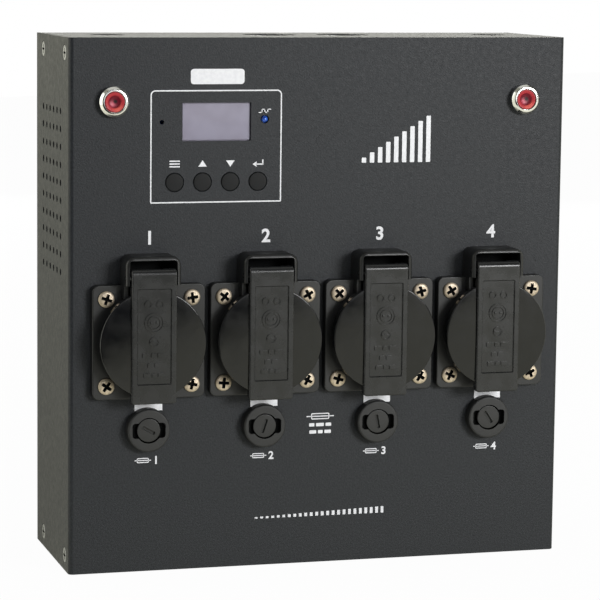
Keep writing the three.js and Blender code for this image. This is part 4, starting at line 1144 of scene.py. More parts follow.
lid = {
    "disc": 46.8,
    "back": 9.6,
    "backEdge": 0.3,
    "face": 13.3,
    "crown": 0.45,
    "rim": 0.5,
    "lip": 37.6,
    "lipWall": 1.8,
    "lipDepth": 1.5,
    "lipEdge": 0.3,
    "strapWidth": 19.8,
    "strapBack": 10.5,
    "strapFace": 14.5,
    "strapBelow": 25.8,
    "strapAbove": 32.7,
    "strapRound": 2.5,
    "strapFoot": 0.9,
    "strapCorner": 2,
    "strapCrown": 0.6,
    "edge": 0.55,
    "panelWidth": 15.3,
    "panelDepth": 0.7,
    "panelSlope": 0.4,
    "panelMargin": 8.4,
    "panelCorner": 0.7,
    "knuckle": 5,
    "knuckleEdge": 0.3,
    "bore": 2.4,
    "notch": (4.45, 1.8),  # half its width, and its reach from the pin
}
marks = {  # plain rings, dots and bars moulded in the strap's panel
    "rise": 0.4,
    "edge": 0.07,
    "ringEdge": (0.08, 0.06),  # across and down
    "barCorner": 0.2,
    "barHeight": 1.9,
    "barGap": 0.7,
    "rings": (  # radius, width and middle
        (4.3, 0.55, (0, 9.6)),
        (2.9, 0.4, (0, 9.6)),
        (1.7, 0.5, (-2.6, 17.6)),
        (1.7, 0.5, (2.6, 17.6)),
        (2.2, 0.5, (0, 1.2)),
    ),
    "dot": 1.1,
    "dots": ((-1.25, 9.6), (1.25, 9.6)),
    "cross": (4.4, 0.5, (0, 1.2)),  # width, height and middle
    "rows": ((-4.6, (3.2, 2.2, 3.6)), (-8.9, (2.4, 2.6)), (-13.2, (3, 2, 2.8))),  # levels and widths
}


def lidDisc():
    radius, back, edge = lid["disc"] / 2, lid["back"], lid["backEdge"]
    front = crowned(radius, lid["face"], lid["rim"], lid["crown"], 12)
    profile = [(0, back), (radius - edge, back), (radius, back + edge), *front]
    return coat(turned(profile, steps=128), "gloss")


def lipForm():
    back, edge = lid["back"], lid["lipEdge"]
    outer = lid["lip"] / 2
    inner = outer - lid["lipWall"]
    end = back - lid["lipDepth"]
    profile = [(inner, back + lap), (inner, end + edge), (inner + edge, end), (outer - edge, end),
               (outer, end + edge), (outer, back + lap)]
    return coat(turned(profile, steps=96, closed=True), "gloss")


def strapForm():
    back, face, half = lid["strapBack"], lid["strapFace"], lid["strapWidth"] / 2
    low, high = -lid["strapBelow"], lid["strapAbove"]
    outline = softCorners(between(back, low, face, high), [0, lid["strapFoot"], lid["strapRound"], 0], 8)
    strap = slab(outline, -half, half, "side", lid["edge"], lid["edge"])
    front = rectangle(lid["strapWidth"] + lap, high - low + lap, (0, (high + low) / 2))
    corner, crown = lid["strapCorner"], lid["strapCrown"]
    front = slab(softCorners(front, [corner, corner, crown, crown], 8), back - over, face + over)
    return coat(combine(strap, [front], "INTERSECT"), "strap")


def panelTool():
    face, half, margin = lid["strapFace"], lid["panelWidth"] / 2, lid["panelMargin"]
    outline = between(-half, margin - lid["strapBelow"], half, lid["strapAbove"] - margin)
    levels = [(lid["panelSlope"], face - lid["panelDepth"]), (0, face), (0, face + over)]
    return coat(layered(softCorners(outline, lid["panelCorner"], 4), levels), "strap")


def spread(middle, widths, gap):  # the middle and width of each bar in a row
    left = middle - (sum(widths) + gap * (len(widths) - 1)) / 2
    bars = []
    for width in widths:
        bars.append((left + width / 2, width))
        left += width + gap
    return bars


def lidMarks():
    floor, edge = lid["strapFace"] - lid["panelDepth"], marks["edge"]
    foot, top = floor - lap, floor + marks["rise"]
    across, down = marks["ringEdge"]
    forms = []
    for radius, width, middle in marks["rings"]:
        inner = radius - width
        profile = [(inner, foot), (radius, foot), (radius, top - down), (radius - across, top),
                   (inner + across, top), (inner, top - down)]
        forms.append(turned(profile, middle=middle, steps=48, closed=True))
    for spot in marks["dots"]:
        forms.append(bar(marks["dot"], foot, top, middle=spot, edge=edge, steps=20))
    bars = [marks["cross"]]
    for level, widths in marks["rows"]:
        bars += [(width, marks["barHeight"], (u, level)) for u, width in spread(0, widths, marks["barGap"])]
    for size in bars:
        forms.append(slab(softCorners(rectangle(*size), marks["barCorner"], 3), foot, top, edge=edge))
    return [coat(form, "strap") for form in forms]


def lidForm():
    half, edge = lid["strapWidth"] / 2, lid["knuckleEdge"]
    form = lidDisc()
    knuckle = coat(bar(lid["knuckle"], -half, half, "side", pinSpot, edge, edge, 40), "strap")
    weld(form, lipForm(), strapForm(), knuckle)
    bore = bar(lid["bore"], -half - over, half + over, "side", pinSpot, steps=32)
    side, reach = lid["notch"]
    notch = box((-side, -pin["reach"] - reach, pin["above"] - reach),
                (side, -pin["reach"] + lid["knuckle"], lid["strapAbove"] + over))
    carve(form, bore, notch)
    carve(form, panelTool())
    return assemble([form, *lidMarks()])


spring = {"wire": 0.6, "turns": 2.5, "pitch": 1.3, "steps": 90, "slack": 0.3, "legStart": 0.5, "legEnd": 0.9}


def springForm():
    radius = pin["diameter"] / 2 + spring["slack"] + spring["wire"] / 2
    start = -spring["turns"] * spring["pitch"] / 2
    foot = pin["above"] - radius
    points = [(start, -hood["back"] - spring["legEnd"], foot),
              (start, spring["legStart"] - pin["reach"], foot)]
    for step in range(spring["steps"] + 1):
        share = spring["turns"] * step / spring["steps"]
        turn = 2 * math.pi * share
        points.append((start + share * spring["pitch"], -pin["reach"] - math.sin(turn) * radius,
                       pin["above"] - math.cos(turn) * radius))
    return wireForm(points, spring["wire"])


def wireForm(points, diameter, steps=12):  # a round wire along its points, closed at both ends
    shape = bmesh.new()
    rings = []
    across = None
    for here, along in directions(points):
        if across is None:
            across = along.orthogonal().normalized()
        across = (across - along * across.dot(along)).normalized()
        other = along.cross(across)
        ring = []
        for step in range(steps):
            angle = 2 * math.pi * step / steps
            offset = across * math.cos(angle) + other * math.sin(angle)
            ring.append(shape.verts.new(here + offset * diameter / 2))
        rings.append(ring)
    return closeRings(shape, rings)


def addSockets():
    half, edge = pin["length"] / 2, pin["edge"]
    forms = {
        "housing": (housingForm(), None, "socket_plastic"),
        "insert": (insertForm(), "matt", "insulator"),
        "earth_clip": (clipForm(), "nickel", "nickel"),
        "lid": (lidForm(), None, "lid_plastic"),
        "hinge_pin": (bar(pin["diameter"], -half, half, "side", pinSpot, edge, edge, 32),
                      "steel", "spring_steel"),
        "lid_spring": (springForm(), "steel", "spring_steel"),
    }
    for part, (form, look, slotName) in forms.items():
        for channel, middle in zip(channels, socketMiddles):
            body = "lid_%d" % channel if part == "lid" else "root"
            place("channel_%d_%s" % (channel, part), form, onFront(middle), body,
                  ["socket_%d_%s" % (channel, part)], slotName, look)


addSockets()
print("sockets and lids hung")


# Fuse holders, with their caps and cartridge fuses

fuse = {
    "bezel": 19,
    "rise": 5,
    "edge": 0.9,
    "body": 15.4,
    "bodyEnd": -37.5,
    "bodyEdge": 0.6,
    "lug": (5, 0.8),
    "lugLength": 6,
    "recess": 11.3,
    "wing": (14.4, 6.3),
    "wingCorner": 1.2,
    "wingDepth": 2.4,
    "wingFlare": 0.2,
    "wingSlope": 0.1,
    "cap": 10.5,
    "capFace": 4.4,
    "capBack": 1.4,
    "capEdge": 0.35,
    "carrier": 9.6,
    "carrierBack": -16,
    "carrierEdge": 0.4,
    "slot": (6, 1.1),
    "slotCorner": 0.3,
    "slotDepth": 1,
    "slotFlare": 0.15,
    "slotSlope": 0.08,
    "link": 6.3,
    "linkFront": -2.3,
    "linkBack": -34.3,
    "linkEnd": 6,
    "linkEdge": 0.4,
    "glass": 5.6,
    "glassWall": 0.5,
    "glassInset": 1,
    "wire": 0.25,
    "slack": 0.8,
    "gap": 0.3,  # behind each stepped part
    "turns": (-28, 72, -79, -57),  # of each slot, in degrees from level
}


def recessTool(size, corner, steps, face, depth, slope, flare):
    # A sunk pocket with sloping walls and a broken edge
    levels = [(slope, face - depth), (0, face - flare), (-flare, face), (-flare, face + over)]
    return layered(softCorners(rectangle(*size), corner, steps), levels)


def holderForm():
    rise, end, slack, gap = fuse["rise"], fuse["bodyEnd"], fuse["slack"], fuse["gap"]
    form = bar(fuse["bezel"], socket["seat"], rise, edge=fuse["edge"], steps=96)
    body = bar(fuse["body"], end, lap, farEdge=fuse["bodyEdge"])
    weld(form, body, slab(rectangle(*fuse["lug"]), end - fuse["lugLength"], end + lap))
    coat(form, "matt")
    tools = [recessTool(fuse["wing"], fuse["wingCorner"], 4, rise, fuse["wingDepth"], fuse["wingSlope"],
                        fuse["wingFlare"])]
    for diameter, floor in ((fuse["recess"], fuse["capBack"]),
                            (fuse["carrier"] + slack, fuse["carrierBack"]),
                            (fuse["link"] + slack, fuse["linkBack"])):
        tools.append(bar(diameter, floor - gap, rise + over))
    # the wing pocket and the bores are coated near black, as painted shade
    return carve(form, *[coat(tool, "painted_shade") for tool in tools])


def capForm(turn):
    back, face, end = fuse["capBack"], fuse["capFace"], fuse["carrierBack"]
    form = bar(fuse["cap"], back, face, edge=fuse["capEdge"])
    weld(form, bar(fuse["carrier"], end, back + lap, farEdge=fuse["carrierEdge"], steps=48))
    slot = recessTool(fuse["slot"], fuse["slotCorner"], 3, face, fuse["slotDepth"], fuse["slotSlope"],
                      fuse["slotFlare"])
    slot.data.transform(Matrix.Rotation(-math.radians(turn), 4, "Y"))
    bore = bar(fuse["link"] + fuse["slack"], end - over, fuse["linkFront"] - fuse["gap"], steps=48)
    return carve(form, slot, bore)


def linkForm():
    front, back, edge = fuse["linkFront"], fuse["linkBack"], fuse["linkEdge"]
    forms = []
    for start, end in ((back, back + fuse["linkEnd"]), (front - fuse["linkEnd"], front)):
        forms.append(coat(bar(fuse["link"], start, end, edge=edge, farEdge=edge, steps=40), "nickel"))
    outer = fuse["glass"] / 2
    inner = outer - fuse["glassWall"]
    start, end = back + fuse["glassInset"], front - fuse["glassInset"]
    tube = [(outer, start), (outer, end), (inner, end), (inner, start)]
    forms.append(coat(turned(tube, steps=40, closed=True), "glass"))
    forms.append(coat(bar(fuse["wire"], start, end, steps=8), "steel"))
    return assemble(forms)


def addFuses():
    holder, link = holderForm(), linkForm()
    for channel, middle, turn in zip(channels, fuseMiddles, fuse["turns"]):
        at = onFront(middle)
        place("channel_%d_fuse_holder" % channel, holder, at, "root", ["fuse_%d_holder" % channel],
              "fuse_plastic")
        place("channel_%d_fuse_cap" % channel, capForm(turn), at, "fuse_cap_%d" % channel,
              ["fuse_%d_cap" % channel], "fuse_plastic", "satin")
        place("channel_%d_cartridge" % channel, link, at, "fuse_link_%d" % channel,
              ["fuse_%d_link" % channel], "fuse_glass")


addFuses()
print("fuse holders fitted")


# Display window, buttons, status lamp and the control board behind them

rimFront = -case["sheet"] - display["slack"]  # of the pieces that stand behind the panel
button = {"diameter": 7.86, "proud": 0.4, "edge": 0.35, "rim": 1, "stem": 3.4, "dome": 0.15}
status = {
    "radius": 1.5,
    "proud": 0.8,
    "rim": 0.5,
    "lead": 0.5,
    "leadSpacing": 2.54,
    "leadTop": 0.4,  # behind the rim's front
}
window = {
    "corner": 0.3,
    "edge": 0.25,
    "rimThickness": 1,
    "moduleEdge": 0.2,  # of the digit module behind the window
}


def buttonForm(low):  # built to the depth of its own node, whose stem end is at low
    radius, stem, rim = button["diameter"] / 2, button["stem"] / 2, button["rim"]
    front = crowned(radius, button["proud"], button["edge"], button["dome"], 5)
    return turned([(0, low), (stem, low), (stem, rimFront - rim), (radius + rim, rimFront - rim),
                   (radius + rim, rimFront), (radius, rimFront), *front])


def statusForm(low):
    radius, rim, proud = status["radius"], status["rim"], status["proud"]
    dome = [(radius * math.cos(angle), proud - radius + radius * math.sin(angle))
            for angle in quarterAngles(8)[:-1]]
    profile = [(0, rimFront - rim), (radius + rim, rimFront - rim), (radius + rim, rimFront),
               (radius, rimFront), *dome, (0, proud)]
    forms = [coat(turned(profile, steps=40), "blue")]
    for u in (-1, 1):
        lead = rectangle(status["lead"], status["lead"], (u * status["leadSpacing"] / 2, 0))
        forms.append(coat(slab(lead, low, rimFront - status["leadTop"]), "nickel"))
    return assemble(forms)


def windowForm():
    width, height, slack, rim = display["width"], display["height"], display["slack"], display["rim"]
    pane = softCorners(rectangle(width - 2 * slack, height - 2 * slack), window["corner"], 3)
    front = slab(pane, rimFront - lap, -display["sink"], edge=window["edge"])
    back = slab(rectangle(width + 2 * rim, height + 2 * rim), rimFront - window["rimThickness"], rimFront)
    return weld(front, back)


def reachOf(node):  # how far a node's back and front lie in front of the panel
    low, high = nodeBox(node)
    return frontFace - high.y, frontFace - low.y


def addDisplay():
    place("display_pane", windowForm(), onFront(windowMiddle), stands=["display_window"],
          slot="display_filter", look="filter")
    low, high = nodeBox("display_module")
    outline = rectangle(high.x - low.x, high.z - low.z)
    body = slab(outline, *reachOf("display_module"), edge=window["moduleEdge"])
    place("digit_module", body, onFront(nodeMiddle("display_module")), stands=["display_module"],
          slot="display_body", look="matt")
    for name, middle in zip(buttonNames, buttonMiddles):
        place(name.replace("button", "key"), buttonForm(reachOf(name)[0]), onFront(middle), name, [name],
              "button_plastic", "rubber")
    place("status_lamp", statusForm(reachOf("status_led")[0]), onFront(statusMiddle),
          stands=["status_led"], slot="blue_lens")


board = {
    "thickness": 1.6,
    "hole": 3,
    "sink": 0.1,  # how far parts reach into their board
    "edge": 0.2,
    "controlDepth": 9,  # behind the panel
    "switch": 6,
    "switchHeight": 3.5,
    "plunger": 3,
    "plungerRise": 1.4,
    "trimmer": (6, 5),  # width and height, as the next one
    "chip": (10, 1.5),
    "header": (20, 6, 8),
    "headerEdge": 0.3,
    "screw": (5.6, 1.4, 2.6, 6),
}


def laminateForm(outline, front, spots):
    back = front - board["thickness"]
    holes = [bar(board["hole"], back - over, front + over, middle=spot, steps=20) for spot in spots]
    return coat(carve(slab(outline, back, front), gather(holes)), "laminate")


def addControlBoard():
    front, sink, edge = -case["sheet"] - board["controlDepth"], board["sink"], board["edge"]
    back = front - board["thickness"]
    top = front + board["switchHeight"]
    tip = top + board["plungerRise"]
    posts = [(x - windowMiddle.x, z - windowMiddle.z) for x, z in controlPosts()]
    forms = [laminateForm(rectangle(*display["board"], (0, -display["boardDrop"])), front, posts)]
    for middle in buttonMiddles:
        spot = (middle.x - windowMiddle.x, middle.z - windowMiddle.z)
        body = rectangle(board["switch"], board["switch"], spot)
        forms.append(coat(slab(body, front - sink, top, edge=edge), "steel"))
        plunger = bar(board["plunger"], top - sink, tip, middle=spot, edge=edge, steps=24)
        forms.append(coat(plunger, "matt"))
    width, height = board["trimmer"]
    trimmer = rectangle(width, width, display["trimmer"])
    forms.append(coat(slab(trimmer, front - sink, front + height, edge=edge), "blue"))
    width, height = board["chip"]
    forms.append(coat(slab(rectangle(width, width), back - height, back + sink, farEdge=edge), "matt"))
    width, tall, height = board["header"]
    header = rectangle(width, tall, (0, buttonMiddles[0].z - windowMiddle.z))
    forms.append(coat(slab(header, back - height, back + sink, farEdge=board["headerEdge"]), "nylon"))
    place("control_card", assemble(forms), onFront(windowMiddle), stands=["control_board"],
          slot="board_laminate")


addDisplay()
addControlBoard()
print("display and buttons fitted")


# Supply lamps: a coned chrome bezel round a red lens

lamp = {
    "base": 13.3,
    "front": 11.2,
    "rise": 4.2,
    "slope": 1.05,
    "lens": 9,
    "lensDepth": 2,
    "slack": 0.1,
    "sink": 0.5,
    "floor": 2.3,  # of the bezel's bore, behind the lens's face
    "well": 2.8,
    "wellDepth": 1.3,
    "wellFlat": 1.2,
    "body": 8.6,
    "bodyEnd": -18,
    "shoulder": ((0, -0.35), (-0.12, -0.15)),  # from the base's radius and the foot of the slope
    "nose": ((0.04, -0.2), (-0.1, -0.06), (-0.26, 0)),  # from the front's radius and the rise
    "boreRim": ((0.15, 0), (0, -0.15)),
    "lensShadedRim": ((0, -0.35), (-0.12, -0.1), (-0.35, 0), (-0.7, -0.05)),
    "wellRim": ((0.3, -0.35), (0, -0.5)),
    "wellFoot": ((-0.25, 0.35), (-0.6, 0.1)),
}


def profileAt(offsets, radius, height):
    return [(radius + across, height + up) for across, up in offsets]


def bezelForm():
    rise, end, body = lamp["rise"], lamp["bodyEnd"], lamp["body"] / 2
    base, front, inner = lamp["base"] / 2, lamp["front"] / 2, lamp["lens"] / 2 + lamp["slack"]
    waist, floor, seat = rise - lamp["slope"], rise - lamp["sink"] - lamp["floor"], socket["seat"]
    profile = [(0, end), (body, end), (body, seat), (base, seat),
               *profileAt(lamp["shoulder"], base, waist), *profileAt(lamp["nose"], front, rise),
               *profileAt(lamp["boreRim"], inner, rise), (inner, floor), (0, floor)]
    return turned(profile, steps=96)


def lensForm():
    radius, well = lamp["lens"] / 2, lamp["well"]
    face = lamp["rise"] - lamp["sink"]
    back, floor = face - lamp["lensDepth"], face - lamp["wellDepth"]
    profile = [(0, back), (radius, back), *profileAt(lamp["lensShadedRim"], radius, face),
               *profileAt(lamp["wellRim"], well, face), *profileAt(lamp["wellFoot"], well, floor),
               (lamp["wellFlat"], floor), (0, floor)]
    return turned(profile, steps=72)


def addLamps():
    bezel, lens = bezelForm(), lensForm()
    for side, middle in zip(sides, lampMiddles):
        place("%s_supply_bezel" % side, bezel, onFront(middle), "root", ["%s_lamp_bezel" % side], "chrome",
              "chrome")
        place("%s_supply_lens" % side, lens, onFront(middle), "root", ["%s_lamp_lens" % side], "red_lens",
              "red")


addLamps()
print("lamps fitted")


# Control sockets and cable bushings in the top

connector = {
    "face": -0.3,
    "mouth": 18.6,
    "mouthFlare": 0.4,
    "key": (3.2, 2.4),
    "keyRise": 2,
    "flange": (26, 31),
    "flangeCorner": 2.5,
    "flangeTop": -1.8,
    "flangeThickness": 2.4,
    "flangeEdge": 0.2,
    "barrel": 23.4,
    "barrelLength": 22,
    "barrelEdges": (0.5, 0.6),
    "tail": 14,
    "tailLength": 6,
    "tailCorner": 1,
    "circle": 9.2,
    "pin": 2.4,
    "pinLength": 9,
    "pinEdge": 0.8,
    "depth": 15,
    "faceSink": 5,
    "hole": 3,
    "holeDepth": 8,
    "holeFlare": 0.4,
}
bushing = [(5.5, -11), (7.45, -11), (7.45, -3.4), (9.75, -3.4), (9.75, -1.8), (7.45, -1.8),
           (7.45, -0.6), (7.2, -0.3), (6, -0.3), (5.5, -0.8)]  # radius and height


def contactSpots():
    angles = [(spot * 2 / 3 - 1 / 2) * math.pi for spot in (-1, 0, 1)]
    radius = connector["circle"] / 2
    return [(radius * math.cos(angle), radius * math.sin(angle)) for angle in angles]


def connectorShell(floor):
    sizes = connector
    face, top, flare = sizes["face"], sizes["flangeTop"], sizes["mouthFlare"]
    bottom, end = top - sizes["flangeThickness"], top - sizes["barrelLength"]
    outline = softCorners(rectangle(*sizes["flange"]), sizes["flangeCorner"])
    flange = slab(outline, bottom, top, "top", sizes["flangeEdge"])
    edge, farEdge = sizes["barrelEdges"]
    barrel = bar(sizes["barrel"], end, face, "top", edge=edge, farEdge=farEdge, steps=72)
    tail = softCorners(rectangle(sizes["tail"], sizes["tail"]), sizes["tailCorner"])
    weld(flange, barrel, slab(tail, end - sizes["tailLength"], end + lap, "top"))
    radius = sizes["mouth"] / 2
    profile = [(0, floor), (radius, floor), (radius, face - flare), (radius + flare, face),
               (radius + flare, over), (0, over)]
    key = slab(rectangle(*sizes["key"], (0, radius + flare)), floor + sizes["keyRise"], over, "top")
    holes = [bar(control["screwHole"], bottom - over, over, "top", spot, steps=24)
             for spot in control["screws"]]
    return carve(flange, turned(profile, "top", steps=72), key, gather(holes))


def addConnectors():
    sizes = connector
    floor = sizes["face"] - sizes["depth"]
    forms = [coat(connectorShell(floor), "satin")]
    tip = floor + sizes["pinLength"]
    for spot in contactSpots():
        contact = bar(sizes["pin"], floor - lap, tip, "top", spot, sizes["pinEdge"], steps=24)
        forms.append(coat(contact, "nickel"))
    place("control_input", assemble(forms), onTop(controlMiddles[0]), stands=["control_input_socket"],
          slot="control_plastic")
    face = sizes["face"] - sizes["faceSink"]
    shell = connectorShell(face)
    start, flare = face - sizes["holeDepth"], sizes["holeFlare"]
    holes = [holeTool(sizes["hole"], start, face, "top", spot, flare, steps=24) for spot in contactSpots()]
    carve(shell, gather(holes))
    place("control_output", shell, onTop(controlMiddles[1]), stands=["control_output_socket"],
          slot="control_plastic", look="satin")
    form = turned(bushing, "top", steps=72, closed=True)
    for side, middle in zip(sides, bushingMiddles):
        place("%s_cable_grommet" % side, form, onTop(middle), "root", ["%s_cable_bushing" % side],
              "control_plastic", "satin")


addConnectors()
print("control sockets and bushings fitted")


# Dimmer board with chokes and triacs, heat sink, transformer and terminals inside the case

choke = {
    "outer": 29.9,
    "bore": 12.86,
    "depth": 13,
    "pitch": 48,
    "skin": 0.5,  # from the winding's hollows to its ridges, and as the next one
    "skinDepth": 0.4,
    "round": 2.5,
    "ripple": 0.25,
    "ripples": 48,
}
triac = {"width": 10, "height": 8, "depth": 4.5, "edge": 0.4, "gap": 0.3}  # the gap is to the heat sink
transformer = {
    "reach": 5,  # of the coil beyond the core, and of the core's yokes beyond the coil
    "coil": 26,
    "coreEdge": 0.3,
    "coilEdge": 1.5,
    "coilCorner": 3,
}
terminal = {
    "poles": 3,
    "corner": 0.6,
    "edge": 0.4,
    "screwHole": 4,
    "screwDepth": 6,
    "screwFlare": 0.3,
    "wireHole": 5,
    "wireReach": 5,  # from the back of the block
    "wireLength": 6,
    "head": 3.6,
    "headSpan": (5.8, 4.6),
    "headEdge": 0.2,
    "slot": (3, 0.7),
    "slotFloor": 5.1,
    "groove": 0.8,
    "grooveDepth": 1.2,
}


def addDimmerBoard():
    low, high = nodeBox("dimmer_board")
    front = frontFace - low.y
    back = front - board["thickness"]
    outline = rectangle(high.x - low.x, high.z - low.z, (0, (low.z + high.z) / 2))
    forms = [laminateForm(outline, front, dimmerPosts())]
    inner, outer = choke["bore"] / 2 + choke["skin"], choke["outer"] / 2 - choke["skin"]
    deep = back - choke["depth"] + choke["skinDepth"]
    ring = softCorners(between(inner, deep, outer, back + board["sink"]), choke["round"], 5)
    top = nodeBox("heat_sink")[0].z - triac["gap"]
    for channel in channels:
        x = (channel - (len(channels) + 1) / 2) * choke["pitch"]
        winding = turned(ring, middle=(x, low.z + choke["outer"] / 2), steps=192, closed=True,
                         ripple=choke["ripple"], ripples=choke["ripples"])
        forms.append(coat(winding, "copper"))
        body = rectangle(triac["width"], triac["height"], (x, top - triac["height"] / 2))
        body = slab(body, back - triac["depth"], back + board["sink"], farEdge=triac["edge"])
        forms.append(coat(body, "matt"))
    place("dimmer_card", assemble(forms), (0, frontFace, 0), stands=["dimmer_board"], slot="board_laminate")


def addTransformer():
    low, high = nodeBox("power_transformer")
    reach, middle, tall = transformer["reach"], (0, (high.z + low.z) / 2), high.z - low.z
    edge = transformer["coreEdge"]
    core = rectangle(high.x - low.x, tall, middle)
    core = slab(core, reach - high.y, -reach - low.y, edge=edge, farEdge=edge)
    edge = transformer["coilEdge"]
    coil = rectangle(transformer["coil"], tall - 2 * reach, middle)
    coil = slab(softCorners(coil, transformer["coilCorner"]), -high.y, -low.y, edge=edge, farEdge=edge)
    place("supply_transformer", assemble([coat(core, "iron"), coat(coil, "tape")]),
          ((low.x + high.x) / 2, 0, 0), stands=["power_transformer"], slot="iron_core")


def addTerminals():
    sizes = terminal
    low, high = nodeBox("left_mains_terminal")
    width, tall, face = high.x - low.x, high.z - low.z, high.y - low.y
    pitch = width / sizes["poles"]
    body = slab(softCorners(rectangle(width, tall), sizes["corner"], 3), 0, face, edge=sizes["edge"])
    tools, forms = [], []
    for pole in range(sizes["poles"]):
        u = (pole - (sizes["poles"] - 1) / 2) * pitch
        tools.append(holeTool(sizes["screwHole"], face - sizes["screwDepth"], face, middle=(u, 0),
                              flare=sizes["screwFlare"], steps=32))
        tools.append(bar(sizes["wireHole"], tall / 2 - sizes["wireLength"], tall / 2 + over, "top",
                         (u, -sizes["wireReach"]), steps=32))
        start, end = [face - depth for depth in sizes["headSpan"]]
        head = bar(sizes["head"], start, end, middle=(u, 0), edge=sizes["headEdge"], steps=24)
        carve(head, slab(rectangle(*sizes["slot"], (u, 0)), face - sizes["slotFloor"], face))
        forms.append(coat(head, "brass"))
    for side in (-1, 1):
        groove = rectangle(sizes["groove"], tall + 2 * over, (side * pitch / 2, 0))
        tools.append(slab(groove, face - sizes["grooveDepth"], face + over))
    carve(body, *tools)
    form = assemble([coat(body, "nylon"), *forms])
    for side in sides:
        middle = nodeMiddle("%s_mains_terminal" % side)
        place("%s_supply_terminal" % side, form, (middle.x, high.y, middle.z), "root",
              ["%s_mains_terminal" % side], "terminal_nylon")


def addBoardScrews():
    form = screwForm(*board["screw"])
    form.data.transform(Matrix.Rotation(math.pi, 4, "Z"))
    controlBack = frontFace + case["sheet"] + board["controlDepth"] + board["thickness"]
    dimmerBack = nodeBox("dimmer_board")[0].y + board["thickness"]
    spots = [(x, controlBack, z) for x, z in controlPosts()] + [(x, dimmerBack, z) for x, z in dimmerPosts()]
    for index, at in enumerate(spots):
        place("board_screw_%d" % (index + 1), form, at, slot="nickel")


addDimmerBoard()
addTransformer()
addTerminals()
addBoardScrews()
coat(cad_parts["heat_sink"], "aluminium")
coat(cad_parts["earth_stud"], "brass")
print("inner parts fitted")


# White print on the front: plain numbers, and plain signs where the case has its markings

ink = {
    "low": 0.01,
    "high": 0.045,
    "strokeShare": 0.028,  # of the digits' size, added to their strokes
    "numberHeight": 6,
    "numberPlace": (1, 44.8),  # from the socket's middle
    "smallHeight": 3.6,
    "smallPlace": (4.3, -14),  # from the fuse's middle, as the next one
    "fuseSignPlace": (-1.6, -14),
    "fuseSign": (5.4, 2.2, 0.5, 0.4),  # width, height, corner and line
    "fuseWire": (7.4, 0.4),
    "tabWidth": 12.4,
    "tabShift": 0.8,
    "tabOverlap": 1.5,  # of the tab's foot and the fuse's bezel
    "line": 0.55,
    "corner": 0.3,
}
controlSign = {
    "border": (-77.3, 162, -18.5, 210.9),  # left, bottom, right and top
    "corners": (0.6, 0.6, 2.2, 2.2),
    "rise": 8,  # above the buttons
    "menu": (4.6, 1.2),  # width and pitch of its bars
    "arrow": (1.9, 1.3, 1.5),  # half its width, its foot and its tip
    "enterDown": ((2.2, 1.5), (2.2, -0.5)),
    "enterBack": (3.4, (0.78, -0.5)),
    "enterHead": ((-2.4, -0.5), (-0.6, -1.7), (-0.6, 0.7)),
    "pulseRise": 3.6,  # above the status lamp
    "pulse": (1.3, 0.7, 0.4),  # step across, half the height and line
}
levelSign = {"count": 9, "left": 17.5, "bottom": 178.5, "width": 33.5, "height": 20.5, "barShare": 0.55}
supplySign = {
    "middle": (-47.5, 216.7),
    "size": (24, 6.6),
    "corner": 1.4,
    "waves": (-5.4, 5.4),
    "wave": (8, 2.6, 0.8),  # width, height and line
    "steps": 32,
    "depth": 40,  # how much deeper the wave's cutting tool is than the print
}
ratingSign = {
    "middle": 0.7,
    "level": 66,
    "frame": (8.4, 2.8, 0.5, 0.45),
    "wire": (12.6, 0.45),
    "rows": ((62.2, (2.4, 3.6, 2.6)), (59, (3.2, 2.2, 3))),  # levels and widths
    "height": 1.5,
    "gap": 0.8,
}
scaleSign = {"count": 24, "middle": 0.9, "pitch": 2.55, "bottom": 21, "width": 1.3, "heights": (0.7, 2.9)}


def inkShape(points):
    return slab(points, ink["low"], ink["high"])


def inkBar(width, height, middle, corner=0.0):
    outline = rectangle(width, height, middle)
    return inkShape(softCorners(outline, corner, 5) if corner else outline)


def inkFrame(width, height, middle, corners, line):
    form = inkShape(softCorners(rectangle(width, height, middle), corners))
    inside = rectangle(width - 2 * line, height - 2 * line, middle)
    hole = softCorners(inside, [max(radius - line, 0) for radius in corners])
    return carve(form, slab(hole, -over, over))


def inkLine(points, width):  # a line of even width through its points
    left, right = [], []
    for here, along in directions(points):
        side = Vector((-along.y, along.x)) * width / 2
        left.append(tuple(here + side))
        right.append(tuple(here - side))
    return inkShape(right + left[::-1])


def inkNumber(number, height, middle):
    curve = bpy.data.curves.new("number", "FONT")
    curve.body = str(number)
    curve.align_x = "CENTER"
    curve.offset = ink["strokeShare"]
    item = addObject("number", curve)
    bpy.context.view_layer.update()
    flat = bpy.data.meshes.new_from_object(item.evaluated_get(bpy.context.evaluated_depsgraph_get()))
    bpy.data.objects.remove(item)
    xs = [vertex.co.x for vertex in flat.vertices]
    ys = [vertex.co.y for vertex in flat.vertices]
    size = height / (max(ys) - min(ys))
    shape = bmesh.new()
    shape.from_mesh(flat)
    bpy.data.meshes.remove(flat)
    bmesh.ops.remove_doubles(shape, verts=shape.verts, dist=1e-5)
    for vertex in shape.verts:
        x = (vertex.co.x - (max(xs) + min(xs)) / 2) * size + middle[0]
        z = (vertex.co.y - min(ys)) * size + middle[1] - height / 2
        vertex.co = (x, -ink["low"], z)
    raised = bmesh.ops.extrude_face_region(shape, geom=shape.faces[:])
    for part in raised["geom"]:
        if isinstance(part, bmesh.types.BMVert):
            part.co.y = -ink["high"]
    return toForm(shape)


def addPrint(name, forms, look="ink"):
    place(name, gather(forms), (0, frontFace, 0), slot="socket_plastic", look=look)


